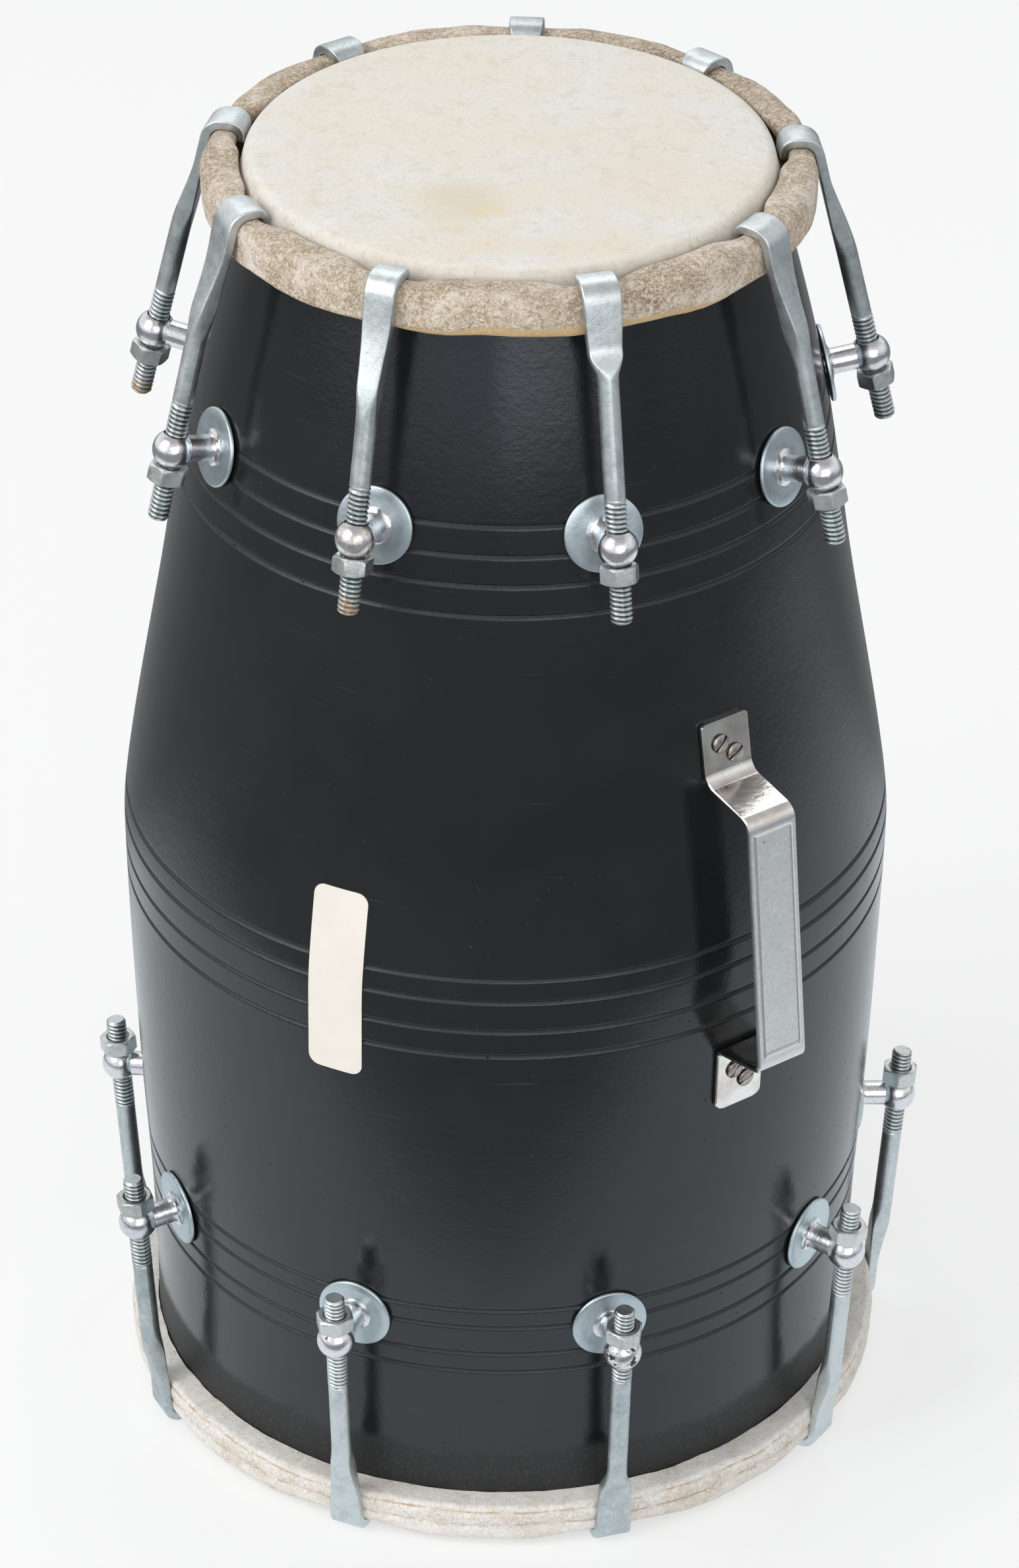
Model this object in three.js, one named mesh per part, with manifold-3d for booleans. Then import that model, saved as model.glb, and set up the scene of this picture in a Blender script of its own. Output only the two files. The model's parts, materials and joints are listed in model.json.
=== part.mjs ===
// A dholak: a barrel drum with two heads, tuned by nine bolt-down hooks at each end.
// Millimetres, +Z up. The drum stands on the claws of its bass hooks, which touch z = 0,
// its axis is the Z axis, and the carrying handle faces -Y.
import * as THREE from 'three';
import { mergeVertices, toCreasedNormals } from 'three/addons/utils/BufferGeometryUtils.js';
import Module from 'manifold-3d';

const wasm = await Module();
wasm.setup();

// Shell: turned hardwood, hollow right through
const shellLength = 522.2;
const bellyRadius = 147.3;
const wallThickness = 15;
const grooveWidth = 2;
const grooveDepth = 1;
// The turned outline from the bass rim to the treble rim: height share, radius share
const outlineShares = [
  [0, 0.947], [0.0595, 0.9478], [0.1423, 0.9552], [0.2457, 0.9756], [0.3481, 0.9898], [0.4563, 1],
  [0.4812, 0.9975], [0.5234, 0.9776], [0.5751, 0.947], [0.6765, 0.8832], [0.8275, 0.7975], [1, 0.6441],
];
// Heights between the groove bands where the outline is followed, and where the bore is
const outerHeightShares = [0.1, 0.27, 0.36, 0.53, 0.65, 0.9];
const boreHeightShares = [1, 0.72, 0.48, 0];
// Three bands of four turned grooves: middle and width as shares of the length
const grooveBands = [
  { middleShare: 0.1669, widthShare: 0.058, lineShares: [-0.5, -0.21, 0.22, 0.5] },
  { middleShare: 0.4597, widthShare: 0.0642, lineShares: [-0.5, -0.17, 0.22, 0.5] },
  { middleShare: 0.795, widthShare: 0.0647, lineShares: [-0.5, -0.16, 0.17, 0.5] },
];

// Every turned form of the body has the same sides, so that its flats lie under the fittings
const bodySides = 36;
const flatShare = Math.cos(Math.PI / bodySides);
const clearance = 0.3;
const cutOverrun = 2;
const rimSteps = 2;

// Heads: a skin over each rim, lapped round a steel hoop, which makes a roll. The roll's gap is
// what is left between its inner edge and the skin that comes down beside the shell, and a roll
// is proud by what it stands past the head's face. The treble roll stays behind that face.
const hooksPerEnd = 9;
const treble = {
  name: 'treble',
  skinThickness: 1.2,
  rimRound: 3,
  rollGap: 0.6,
  rollThickness: 9.9,
  rollHeight: 16.7,
  rollProud: -3.4,
  rollRound: 4.4,
  lapRound: 2.5,
  lapTail: 2,
  postDepth: 94.4,
  tipLength: 2.4,
  threadBeyondNut: 15,
};
const bass = {
  name: 'bass',
  skinThickness: 1.4,
  rimRound: 8,
  rollGap: 0.4,
  rollThickness: 8.2,
  rollHeight: 16.5,
  rollProud: 1.1,
  rollRound: 3.6,
  lapRound: 1.8,
  lapTail: 2,
  postDepth: 93,
  tipLength: 2,
  threadBeyondNut: 8,
  pasteRadius: 52,
  pasteThickness: 3,
};

// Tuning hooks: 8 mm rod, forged flat into a claw
const rodRadius = 4;
const rodSides = 8;
const rodHalf = rodRadius * Math.cos(Math.PI / rodSides);
const clawThickness = 3.6;
const clawWidth = 14;
const tipThickness = 2.4;
const tipWidth = 11;
const clawChamfer = 1;
const clawSteps = 2;
const tipSteps = 2;
const forgedLength = 46;
// Where along the forged length the rod flattens: place, width and thickness, as shares of the
// way from round to flat
const forgingShares = [[0.6, 0.7, 0.8]];

// Nuts on the hooks, and on the posts inside the shell
const nutAcrossFlats = 13;
const nutHeight = 6.5;
const rodBore = rodRadius + clearance;

// Eye posts: a cross-drilled ball on a shank through the shell
const postStandOff = 18.5;
const ballRadius = 7.4;
const postSides = 8;
const washerSides = 12;
const ballSteps = 3;
const shankRadius = 4.9;
const stemRadius = 4;
const washerRadius = 14.75;
const washerThickness = 1.5;
const backWasherRadius = 10;
const cutOverlap = washerThickness / 2;
// The hole through the ball keeps its clearance from the rod's flats, and the nut bears on the
// ball where that hole ends
const holeRadius = (rodHalf + clearance) / Math.cos(Math.PI / rodSides);
const nutSeat = Math.sqrt(ballRadius ** 2 - holeRadius ** 2) + clearance;

// Handle: a bent steel strip on four screws
const stripWidth = 21.5;
const stripThickness = 2;
const stripCorner = 3;
const plateBendRadius = { lower: 3, upper: 7 };
const gripBendRadius = { lower: 4, upper: 5 };
const bendSteps = 2;
const handleHeight = 271.75;
const handleLength = 162.5;
const plateLength = { lower: 27, upper: 23.5 };
const gripStandOff = 25;
const legRun = 4.5;
const screwHeadRadius = 3.7;
const screwHeadHeight = 1.6;
const screwShankRadius = 2;
const screwLength = 11;
const screwSlot = 1;
const screwSpread = 8.2;
// The two screws of a plate lie on a slant: shares of their spread along and across the strip
const screwPairShares = { upper: [0.38, 0.33], lower: [0.34, 0.37] };
const screwSides = 6;

// Heights that follow from the pieces between the floor and the shell
const bassRim = clawThickness + clearance + bass.rollProud + bass.skinThickness + clearance;
const trebleRim = bassRim + shellLength;

const colours = {
  lacquer: { color: 0x0c0c0e, roughness: 0.18, metalness: 0 },
  trebleHide: { color: 0xe6d9bd, roughness: 0.75, metalness: 0 },
  bassHide: { color: 0xe3d6bf, roughness: 0.8, metalness: 0 },
  iron: { color: 0x6f6a62, roughness: 0.6, metalness: 0.8 },
  zinc: { color: 0xb9c3c6, roughness: 0.42, metalness: 0.9 },
  chrome: { color: 0xc9ccd0, roughness: 0.16, metalness: 1 },
};
const creaseAngle = Math.PI / 6;

// A geometry with its shared corners merged and its collapsed triangles left out
function welded(geometry) {
  const bare = new THREE.BufferGeometry();
  bare.setAttribute('position', geometry.getAttribute('position'));
  if (geometry.index) bare.setIndex(geometry.index);
  const merged = mergeVertices(bare);
  const corners = merged.index.array;
  const kept = [];
  for (let i = 0; i < corners.length; i += 3) {
    const [a, b, c] = [corners[i], corners[i + 1], corners[i + 2]];
    if (a !== b && b !== c && c !== a) kept.push(a, b, c);
  }
  merged.setIndex(kept);
  return merged;
}

// A closed geometry as a solid, whichever way its faces were wound
function solid(geometry) {
  const shape = welded(geometry);
  const corners = shape.index.array;
  const point = [0, 1, 2].map(() => new THREE.Vector3());
  let volume = 0;
  for (let i = 0; i < corners.length; i += 3) {
    point.forEach((p, k) => p.fromBufferAttribute(shape.attributes.position, corners[i + k]));
    volume += point[0].dot(point[1].clone().cross(point[2]));
  }
  const triVerts = Uint32Array.from(corners);
  if (volume < 0) triVerts.reverse();
  const vertProperties = Float32Array.from(shape.attributes.position.array);
  return new wasm.Manifold(new wasm.Mesh({ numProp: 3, vertProperties, triVerts }));
}

// A solid as a geometry, smooth except across its edges
function geometryOf(body) {
  const mesh = body.getMesh();
  const geometry = new THREE.BufferGeometry();
  geometry.setAttribute('position', new THREE.BufferAttribute(Float32Array.from(mesh.vertProperties), 3));
  geometry.setIndex(Array.from(mesh.triVerts));
  return toCreasedNormals(geometry, creaseAngle);
}

function piece(name, body, finish) {
  const mesh = new THREE.Mesh(geometryOf(body), new THREE.MeshStandardMaterial(finish));
  mesh.name = name;
  return mesh;
}

// A profile of [radius, height] turned about Z, with the middle of a side on the -Y axis
function turned(profile, sides) {
  const points = profile.map(([radius, height]) => new THREE.Vector2(radius, height));
  const lathe = new THREE.LatheGeometry(points, sides, Math.PI / sides);
  return lathe.rotateX(Math.PI / 2);
}

// A path moved sideways by a distance, to its left, with mitred corners
function offsetPath(path, distance) {
  return path.map(([x, y], i) => {
    const [before, after] = [path[Math.max(i - 1, 0)], path[Math.min(i + 1, path.length - 1)]];
    const one = new THREE.Vector2(x - before[0], y - before[1]).normalize();
    const two = new THREE.Vector2(after[0] - x, after[1] - y).normalize();
    if (i === 0) one.copy(two);
    if (i === path.length - 1) two.copy(one);
    const mitre = new THREE.Vector2(-one.y - two.y, one.x + two.x).normalize();
    const reach = distance / mitre.dot(new THREE.Vector2(-two.y, two.x));
    return [x + mitre.x * reach, y + mitre.y * reach];
  });
}

// A path whose inner corners are rounded, each to its own radius
function roundedPath(path, radii, steps) {
  const rounded = [path[0]];
  for (let i = 1; i < path.length - 1; i += 1) {
    const corner = new THREE.Vector2(...path[i]);
    const back = new THREE.Vector2(...path[i - 1]).sub(corner).normalize();
    const on = new THREE.Vector2(...path[i + 1]).sub(corner).normalize();
    const half = back.angleTo(on) / 2;
    const radius = radii[i - 1];
    const reach = radius / Math.tan(half);
    const centre = back.clone().add(on).normalize().multiplyScalar(radius / Math.sin(half)).add(corner);
    const arm = back.multiplyScalar(reach).add(corner).sub(centre);
    const sweep = (Math.PI - 2 * half) * -Math.sign(arm.cross(on));
    for (let k = 0; k <= steps; k += 1) {
      const turn = arm.clone().rotateAround(new THREE.Vector2(), (-sweep * k) / steps).add(centre);
      rounded.push([turn.x, turn.y]);
    }
  }
  rounded.push(path[path.length - 1]);
  return rounded;
}

// Radius of the shell's outside at a height above the bass rim: a smooth line through the outline
function shellRadius(height) {
  const share = height / shellLength;
  const last = outlineShares.length - 1;
  let k = 0;
  while (k < last - 1 && share > outlineShares[k + 1][0]) k += 1;
  const steep = (i) => {
    const [a, b] = [outlineShares[Math.max(i - 1, 0)], outlineShares[Math.min(i + 1, last)]];
    return (b[1] - a[1]) / (b[0] - a[0]);
  };
  const [[x0, y0], [x1, y1]] = [outlineShares[k], outlineShares[k + 1]];
  const span = x1 - x0;
  const t = (share - x0) / span;
  const fromStart = (1 + 2 * t) * (1 - t) ** 2 * y0 + t * (1 - t) ** 2 * span * steep(k);
  const fromEnd = t ** 2 * (3 - 2 * t) * y1 + t ** 2 * (t - 1) * span * steep(k + 1);
  return bellyRadius * (fromStart + fromEnd);
}

// The same radius seen from one end: depth is the distance in from that end's rim
function radiusFromEnd(end, depth) {
  return shellRadius(end === treble ? shellLength - depth : depth);
}

// How far the outside leans in towards an end, as an angle, at a depth from its rim
function leanFromEnd(end, depth) {
  const step = grooveWidth;
  const rise = radiusFromEnd(end, depth + step) - radiusFromEnd(end, depth - step);
  return Math.atan(rise / (2 * step));
}

function arcPoints([x, y], radius, from, to, steps) {
  return Array.from({ length: steps + 1 }, (_, k) => {
    const angle = from + ((to - from) * k) / steps;
    return [x + radius * Math.cos(angle), y + radius * Math.sin(angle)];
  });
}

// Each rim is rounded over, so that the skin bends easily across it
function rimCentre(end) {
  return [radiusFromEnd(end, end.rimRound) - end.rimRound, -end.rimRound];
}

function shellSolid() {
  const onOutside = (share) => [shellRadius(share * shellLength), share * shellLength];
  const outside = outerHeightShares.map(onOutside);
  for (const { middleShare, widthShare, lineShares } of grooveBands) {
    for (const lineShare of lineShares) {
      const height = (middleShare + lineShare * widthShare) * shellLength;
      for (const [side, depth] of [[-0.5, 0], [0, grooveDepth], [0.5, 0]]) {
        const place = height + side * grooveWidth;
        outside.push([shellRadius(place) - depth, place]);
      }
    }
  }
  outside.sort((a, b) => a[1] - b[1]);
  const [bassX, bassY] = rimCentre(bass);
  const [trebleX, trebleY] = rimCentre(treble);
  const profile = [
    ...arcPoints([bassX, -bassY], bass.rimRound, -Math.PI / 2, 0, rimSteps),
    ...outside,
    ...arcPoints([trebleX, shellLength + trebleY], treble.rimRound, 0, Math.PI / 2, rimSteps),
    ...boreHeightShares.map(onOutside).map(([radius, height]) => [radius - wallThickness, height]),
  ];
  profile.push(profile[0]);
  const body = solid(turned(profile, bodySides).translate(0, 0, bassRim));
  const holes = [
    ...[treble, bass].flatMap((end) => hookAngles.map((angle) => postHole(end, angle))),
    ...screwPlaces().map(screwHole),
  ];
  return holes.reduce((wood, hole) => wood.subtract(hole), body);
}

// Frames of one end. Radius and height are measured from the drum's axis and the rim, with height
// growing out of the drum. A spoke is the half plane at one hook.
const hookAngles = Array.from({ length: hooksPerEnd }, (_, k) => ((2 * k + 1) * Math.PI) / hooksPerEnd);

function endFrame(end) {
  const frame = new THREE.Object3D();
  frame.position.z = end === treble ? trebleRim : bassRim;
  frame.rotation.y = end === treble ? 0 : Math.PI;
  frame.updateMatrixWorld(true);
  return frame;
}

// Heights and radii of one head's pieces
function headSizes(end) {
  const headFace = clearance + end.skinThickness;
  const rollFace = headFace + end.rollProud;
  const rollBack = rollFace - end.rollHeight;
  const rollInnerRadius = radiusFromEnd(end, -rollBack) + headFace + end.rollGap;
  const rollOuterRadius = rollInnerRadius + end.rollThickness;
  return { headFace, rollFace, rollBack, rollInnerRadius, rollOuterRadius };
}

// The skin lies on the rim, runs down beside the shell, out below the hoop, up round it and
// back in over it. Its last edge stays open beside the head, where the claws reach in.
function skinSolid(end) {
  const { headFace, rollFace, rollBack, rollInnerRadius, rollOuterRadius } = headSizes(end);
  const half = end.skinThickness / 2;
  const centre = rimCentre(end);
  const lie = clearance + half;
  const sideLean = leanFromEnd(end, end.rimRound);
  const outer = rollOuterRadius - half;
  const inner = rollInnerRadius + half;
  const [low, high] = [rollBack + half, rollFace - half];
  const path = [
    [0, headFace - half],
    ...arcPoints(centre, end.rimRound + lie, Math.PI / 2, sideLean, rimSteps),
    [radiusFromEnd(end, -low) + lie, low],
    [outer - end.lapRound, low],
    [outer, low + end.lapRound],
    ...arcPoints([outer - end.rollRound, high - end.rollRound], end.rollRound, 0, Math.PI / 2, 2),
    [inner + end.lapRound, high],
    [inner, high - end.lapRound],
    [inner, high - end.lapRound - end.lapTail],
  ];
  const upper = offsetPath(path, half);
  const lower = offsetPath(path, -half).reverse();
  if (end.pasteRadius) {
    const face = headFace - end.skinThickness;
    const back = face - end.pasteThickness;
    lower.splice(-1, 1, [end.pasteRadius, face], [end.pasteRadius - end.pasteThickness, back], [0, back]);
  }
  return solid(turned([...upper, ...lower], bodySides));
}

function hoopSolid(end) {
  const { rollFace, rollBack, rollInnerRadius, rollOuterRadius } = headSizes(end);
  const cover = end.skinThickness + clearance;
  const [inner, outer] = [rollInnerRadius + cover, rollOuterRadius - cover];
  const [low, high] = [rollBack + cover, rollFace - cover];
  // Keeps its clearance from the slant of the lap's inner corner too
  const slant = (end.skinThickness / 2 + clearance) * Math.SQRT2;
  const round = end.lapRound + end.skinThickness + slant - 2 * cover;
  const profile = [
    [inner, low], [outer - end.lapRound, low], [outer, low + end.lapRound],
    [outer, high - end.rollRound], [outer - end.rollRound, high],
    [inner + round, high], [inner, high - round], [inner, low],
  ];
  return solid(turned(profile, bodySides));
}

// Where a post stands: its seat on the shell, the way it points, the middle of its ball, and the
// lean of the hook's rod, which runs through the ball and bears on the outer edge of the roll
function postPlace(end) {
  const lean = leanFromEnd(end, end.postDepth);
  const outwards = new THREE.Vector2(Math.cos(lean), Math.sin(lean));
  const seat = new THREE.Vector2(radiusFromEnd(end, end.postDepth) * flatShare, -end.postDepth);
  const ball = outwards.clone().multiplyScalar(postStandOff).add(seat);
  const { rollFace, rollOuterRadius } = headSizes(end);
  const edge = new THREE.Vector2(rollOuterRadius * flatShare - end.rollRound, rollFace - end.rollRound);
  const apart = edge.clone().sub(ball);
  const bearing = end.rollRound + clearance + rodHalf;
  const rodLean = Math.atan2(-apart.x, apart.y) - Math.asin(bearing / apart.length());
  const rodReach = Math.sqrt(apart.lengthSq() - bearing ** 2);
  return { lean, seat, ball, rodLean, rodReach };
}

// Radius of the straight-sided bore at a depth from one end's rim
function boreFromEnd(end, depth) {
  const share = (end === treble ? shellLength - depth : depth) / shellLength;
  const k = boreHeightShares.findIndex((low, i) => i > 0 && share >= low);
  const [high, low] = [boreHeightShares[k - 1], boreHeightShares[k]];
  const [highRadius, lowRadius] = [high, low].map((at) => shellRadius(at * shellLength) - wallThickness);
  return lowRadius + ((highRadius - lowRadius) * (share - low)) / (high - low);
}

// How far below its seat a flat washer clears the hollow side of the shell's wall
function wallDepth(end) {
  const { lean, seat } = postPlace(end);
  const depths = [-backWasherRadius, 0, backWasherRadius].map((along) => {
    const radius = seat.x - along * Math.sin(lean);
    const flat = boreFromEnd(end, end.postDepth - along * Math.cos(lean)) * flatShare;
    return (radius - Math.sqrt(flat ** 2 - backWasherRadius ** 2)) * Math.cos(lean);
  });
  return Math.max(...depths);
}

function hexPrism(acrossFlats, height, boreRadius) {
  const outline = (radius, sides) => (
    arcPoints([0, 0], radius, 0, 2 * Math.PI * (1 - 1 / sides), sides - 1).map((p) => new THREE.Vector2(...p))
  );
  const shape = new THREE.Shape(outline(acrossFlats / 2 / Math.cos(Math.PI / 6), 6));
  if (boreRadius) shape.holes.push(new THREE.Path(outline(boreRadius, rodSides)));
  return new THREE.ExtrudeGeometry(shape, { depth: height, bevelEnabled: false });
}

// Post: washer and collar outside, ball with its cross hole, and inside the shell the stem's
// own washer and nut. Its Z axis is its own axis, with zero on the shell.
function postSolid(end) {
  const { lean, rodLean } = postPlace(end);
  const back = wallDepth(end) + clearance;
  const nutTop = back + washerThickness;
  const washerMiddle = clearance + washerThickness / 2;
  const ballStart = Math.asin(shankRadius / ballRadius) - Math.PI / 2;
  const stem = [
    [0, -nutTop - nutHeight / 2],
    [stemRadius, -nutTop - nutHeight / 2],
    [stemRadius, washerMiddle],
    [shankRadius, washerMiddle],
    ...arcPoints([0, postStandOff], ballRadius, ballStart, Math.PI / 2, ballSteps)
      .map(([radius, height], i) => [i === ballSteps ? 0 : radius, height]),
  ];
  const disc = (radius, from, sides) => {
    const to = from + washerThickness;
    const profile = [[0, from], [radius, from], [radius, to], [0, to]];
    return solid(turned(profile, sides));
  };
  const hole = turned([
    [0, -ballRadius - cutOverrun], [holeRadius, -ballRadius - cutOverrun],
    [holeRadius, ballRadius + cutOverrun], [0, ballRadius + cutOverrun],
  ], rodSides);
  hole.rotateX(-Math.PI / 2 - (rodLean - lean)).translate(0, 0, postStandOff);
  return solid(turned(stem, postSides))
    .add(disc(washerRadius, clearance, washerSides))
    .add(disc(backWasherRadius, -nutTop, postSides))
    .add(solid(hexPrism(nutAcrossFlats, nutHeight + cutOverlap, 0).translate(0, 0, -nutTop - nutHeight)))
    .subtract(solid(hole));
}

// The hole through the shell for one post
function postHole(end, angle) {
  const { lean, seat } = postPlace(end);
  const radius = (stemRadius + clearance) / Math.cos(Math.PI / postSides);
  const depth = wallDepth(end) + cutOverrun;
  const profile = [[0, -depth], [radius, -depth], [radius, cutOverrun], [0, cutOverrun]];
  const hole = turned(profile, postSides);
  hole.rotateX(Math.PI / 2 - lean).translate(0, -seat.x, seat.y).rotateZ(angle);
  return solid(hole.applyMatrix4(endFrame(end).matrixWorld));
}

// One hook, in its rod's frame: Z along the rod towards the claw, -Y outwards, zero in the ball
function hookSolid(end) {
  const { rodLean, rodReach } = postPlace(end);
  const stations = [];
  const flat = (share) => rodHalf + (clawThickness / 2 - rodHalf) * share;
  const wide = (share) => rodHalf + (clawWidth / 2 - rodHalf) * share;
  const put = (along, out, turn, halfWidth, halfThickness, chamfer) => {
    stations.push({ along, out, turn, halfWidth, halfThickness, chamfer });
  };
  const cut = rodHalf * (1 - Math.tan(Math.PI / rodSides));
  put(-nutSeat - nutHeight - end.threadBeyondNut, 0, 0, rodHalf, rodHalf, cut);
  put(rodReach - forgedLength, 0, 0, rodHalf, rodHalf, cut);
  for (const [placeShare, widthShare, thicknessShare] of forgingShares) {
    const half = flat(thicknessShare);
    const place = rodReach - forgedLength * (1 - placeShare);
    put(place, half - rodHalf, 0, wide(widthShare), half, cut + (clawChamfer - cut) * thicknessShare);
  }
  // The claw goes round the roll's outer edge, level across the roll, and down beside the head
  const { rollInnerRadius, rollOuterRadius } = headSizes(end);
  const half = clawThickness / 2;
  const outerBend = end.rollRound + clearance + half;
  const level = Math.PI / 2 - rodLean;
  for (let k = 0; k <= clawSteps; k += 1) {
    const turn = (level * k) / clawSteps;
    const along = rodReach + outerBend * Math.sin(turn);
    const out = half - rodHalf - outerBend * (1 - Math.cos(turn));
    put(along, out, turn, clawWidth / 2, half, clawChamfer);
  }
  const last = stations[stations.length - 1];
  const outerEdge = rollOuterRadius * flatShare - end.rollRound;
  const innerEdge = rollInnerRadius * flatShare + end.lapRound;
  const across = outerEdge - innerEdge;
  const tipHalf = tipThickness / 2;
  const innerBend = end.lapRound + clearance;
  const centre = {
    along: last.along + across * Math.cos(level) - (innerBend + half) * Math.sin(level),
    out: last.out - across * Math.sin(level) - (innerBend + half) * Math.cos(level),
  };
  for (let k = 0; k <= tipSteps; k += 1) {
    const turn = level + ((Math.PI / 2) * k) / tipSteps;
    const thin = half + (tipHalf - half) * (k / tipSteps);
    const reach = innerBend + thin;
    const width = clawWidth / 2 + ((tipWidth - clawWidth) / 2) * (k / tipSteps);
    const [along, out] = [centre.along + reach * Math.sin(turn), centre.out + reach * Math.cos(turn)];
    put(along, out, turn, width, thin, clawChamfer);
  }
  const tip = stations[stations.length - 1];
  put(
    tip.along + end.tipLength * Math.cos(tip.turn), tip.out - end.tipLength * Math.sin(tip.turn),
    tip.turn, tipWidth / 2, tipHalf, clawChamfer,
  );
  return solid(lofted(stations.map(stationRing)));
}

// The eight corners of a rod or claw section, at right angles to the way it runs
function stationRing({ along, out, turn, halfWidth, halfThickness, chamfer }) {
  const bite = Math.min(chamfer, halfThickness);
  const quarter = [[halfWidth, halfThickness - bite], [halfWidth - bite, halfThickness]];
  const corners = [
    ...quarter,
    ...quarter.map(([x, y]) => [-x, y]).reverse(),
    ...quarter.map(([x, y]) => [-x, -y]),
    ...quarter.map(([x, y]) => [x, -y]).reverse(),
  ];
  return corners.map(([x, y]) => [x, -out - y * Math.cos(turn), along + y * Math.sin(turn)]);
}

// A closed form through rings of equally many corners
function lofted(rings) {
  const count = rings[0].length;
  const triangles = [];
  for (let ring = 0; ring < rings.length - 1; ring += 1) {
    for (let i = 0; i < count; i += 1) {
      const [a, b] = [ring * count + i, ring * count + ((i + 1) % count)];
      triangles.push(a, b, b + count, a, b + count, a + count);
    }
  }
  const end = (rings.length - 1) * count;
  for (let i = 1; i < count - 1; i += 1) {
    triangles.push(0, i + 1, i, end, end + i, end + i + 1);
  }
  const geometry = new THREE.BufferGeometry();
  geometry.setAttribute('position', new THREE.BufferAttribute(Float32Array.from(rings.flat(2)), 3));
  geometry.setIndex(triangles);
  return geometry;
}

function nutSolid() {
  const bore = rodBore / Math.cos(Math.PI / rodSides);
  return solid(hexPrism(nutAcrossFlats, nutHeight, bore).translate(0, 0, -nutSeat - nutHeight));
}

// Handle: its side view as a path of [distance from the axis, height above the floor]
function handlePath() {
  const lie = clearance + stripThickness / 2;
  const onShell = (height) => shellRadius(height - bassRim) * flatShare + lie;
  const [low, high] = [handleHeight - handleLength / 2, handleHeight + handleLength / 2];
  const [lowBend, highBend] = [low + plateLength.lower, high - plateLength.upper];
  return [
    [onShell(low), low],
    [onShell(lowBend), lowBend],
    [onShell(lowBend) + gripStandOff, lowBend + legRun],
    [onShell(highBend) + gripStandOff, highBend - legRun],
    [onShell(highBend), highBend],
    [onShell(high), high],
  ];
}

// The four screws: where each stands on the outside of its plate, and how far it leans
function screwPlaces() {
  const path = handlePath();
  const plates = [
    { ends: [path[0], path[1]], shares: screwPairShares.lower },
    { ends: [path[4], path[5]], shares: screwPairShares.upper },
  ];
  return plates.flatMap(({ ends: [from, to], shares }) => {
    const run = new THREE.Vector2(to[0] - from[0], to[1] - from[1]).normalize();
    const middle = new THREE.Vector2((from[0] + to[0]) / 2, (from[1] + to[1]) / 2);
    const face = new THREE.Vector2(run.y, -run.x).multiplyScalar(stripThickness / 2).add(middle);
    return [1, -1].map((side) => {
      const place = face.clone().addScaledVector(run, side * shares[1] * screwSpread);
      return { across: -side * shares[0] * screwSpread, place, lean: Math.atan2(-run.x, run.y) };
    });
  });
}

function placedScrew(profile, { across, place, lean }) {
  const form = turned(profile, screwSides);
  return solid(form.rotateX(Math.PI / 2 - lean).translate(across, -place.x, place.y));
}

function screwSolid(screw) {
  const profile = [
    [0, -screwLength], [screwShankRadius, -screwLength + screwShankRadius], [screwShankRadius, 0],
    [screwHeadRadius, 0], [screwHeadRadius, screwHeadHeight / 2], [screwHeadRadius / 2, screwHeadHeight],
    [0, screwHeadHeight],
  ].map(([radius, height]) => [radius, height - stripThickness / 4]);
  const slot = new THREE.BoxGeometry(3 * screwHeadRadius, screwSlot, screwHeadHeight);
  slot.translate(0, 0, screwHeadHeight).rotateZ(Math.PI / 4);
  slot.rotateX(Math.PI / 2 - screw.lean).translate(screw.across, -screw.place.x, screw.place.y);
  return placedScrew(profile, screw).subtract(solid(slot));
}

function screwHole(screw) {
  const radius = (screwShankRadius + clearance) / Math.cos(Math.PI / screwSides);
  const depth = screwLength + clearance + stripThickness;
  return placedScrew([[0, -depth], [radius, -depth], [radius, 0], [0, 0]], screw);
}

function handleSolid() {
  const bends = [
    plateBendRadius.lower, gripBendRadius.lower, gripBendRadius.upper, plateBendRadius.upper,
  ];
  const path = roundedPath(handlePath(), bends, bendSteps);
  const [outside, inside] = [stripThickness / 2, -stripThickness / 2].map((side) => offsetPath(path, side));
  const outline = [...outside, ...inside.reverse()];
  const side = new THREE.Shape(outline.map(([x, y]) => new THREE.Vector2(x, y)));
  const strip = new THREE.ExtrudeGeometry(side, { depth: stripWidth, bevelEnabled: false });
  // The side view's radius runs along -Y, its height along Z, and its depth across, along X
  strip.translate(0, 0, -stripWidth / 2);
  strip.applyMatrix4(new THREE.Matrix4().makeBasis(
    new THREE.Vector3(0, -1, 0), new THREE.Vector3(0, 0, 1), new THREE.Vector3(-1, 0, 0),
  ));
  // Seen from the front, the strip's ends have rounded corners
  const [right, top] = [stripWidth / 2, handleLength / 2];
  const front = new THREE.Shape();
  const corners = [[right, -top, -1, 0], [right, top, 0, 1], [-right, top, 1, 2], [-right, -top, 2, 3]];
  corners.forEach(([x, y, from, to]) => {
    const centre = [x - Math.sign(x) * stripCorner, y - Math.sign(y) * stripCorner];
    arcPoints(centre, stripCorner, (from * Math.PI) / 2, (to * Math.PI) / 2, 2)
      .forEach(([u, v], i) => (front.curves.length || i ? front.lineTo(u, v) : front.moveTo(u, v)));
  });
  front.closePath();
  const reach = bellyRadius + 2 * gripStandOff;
  const mould = new THREE.ExtrudeGeometry(front, { depth: reach, bevelEnabled: false });
  mould.rotateX(Math.PI / 2).translate(0, 0, handleHeight);
  const bent = solid(strip).intersect(solid(mould));
  return screwPlaces().map(screwSolid).reduce((body, screw) => body.add(screw), bent);
}

// The drum
const drum = new THREE.Group();
drum.add(piece('shell', shellSolid(), colours.lacquer));
drum.add(piece('handle', handleSolid(), colours.chrome));

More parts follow.
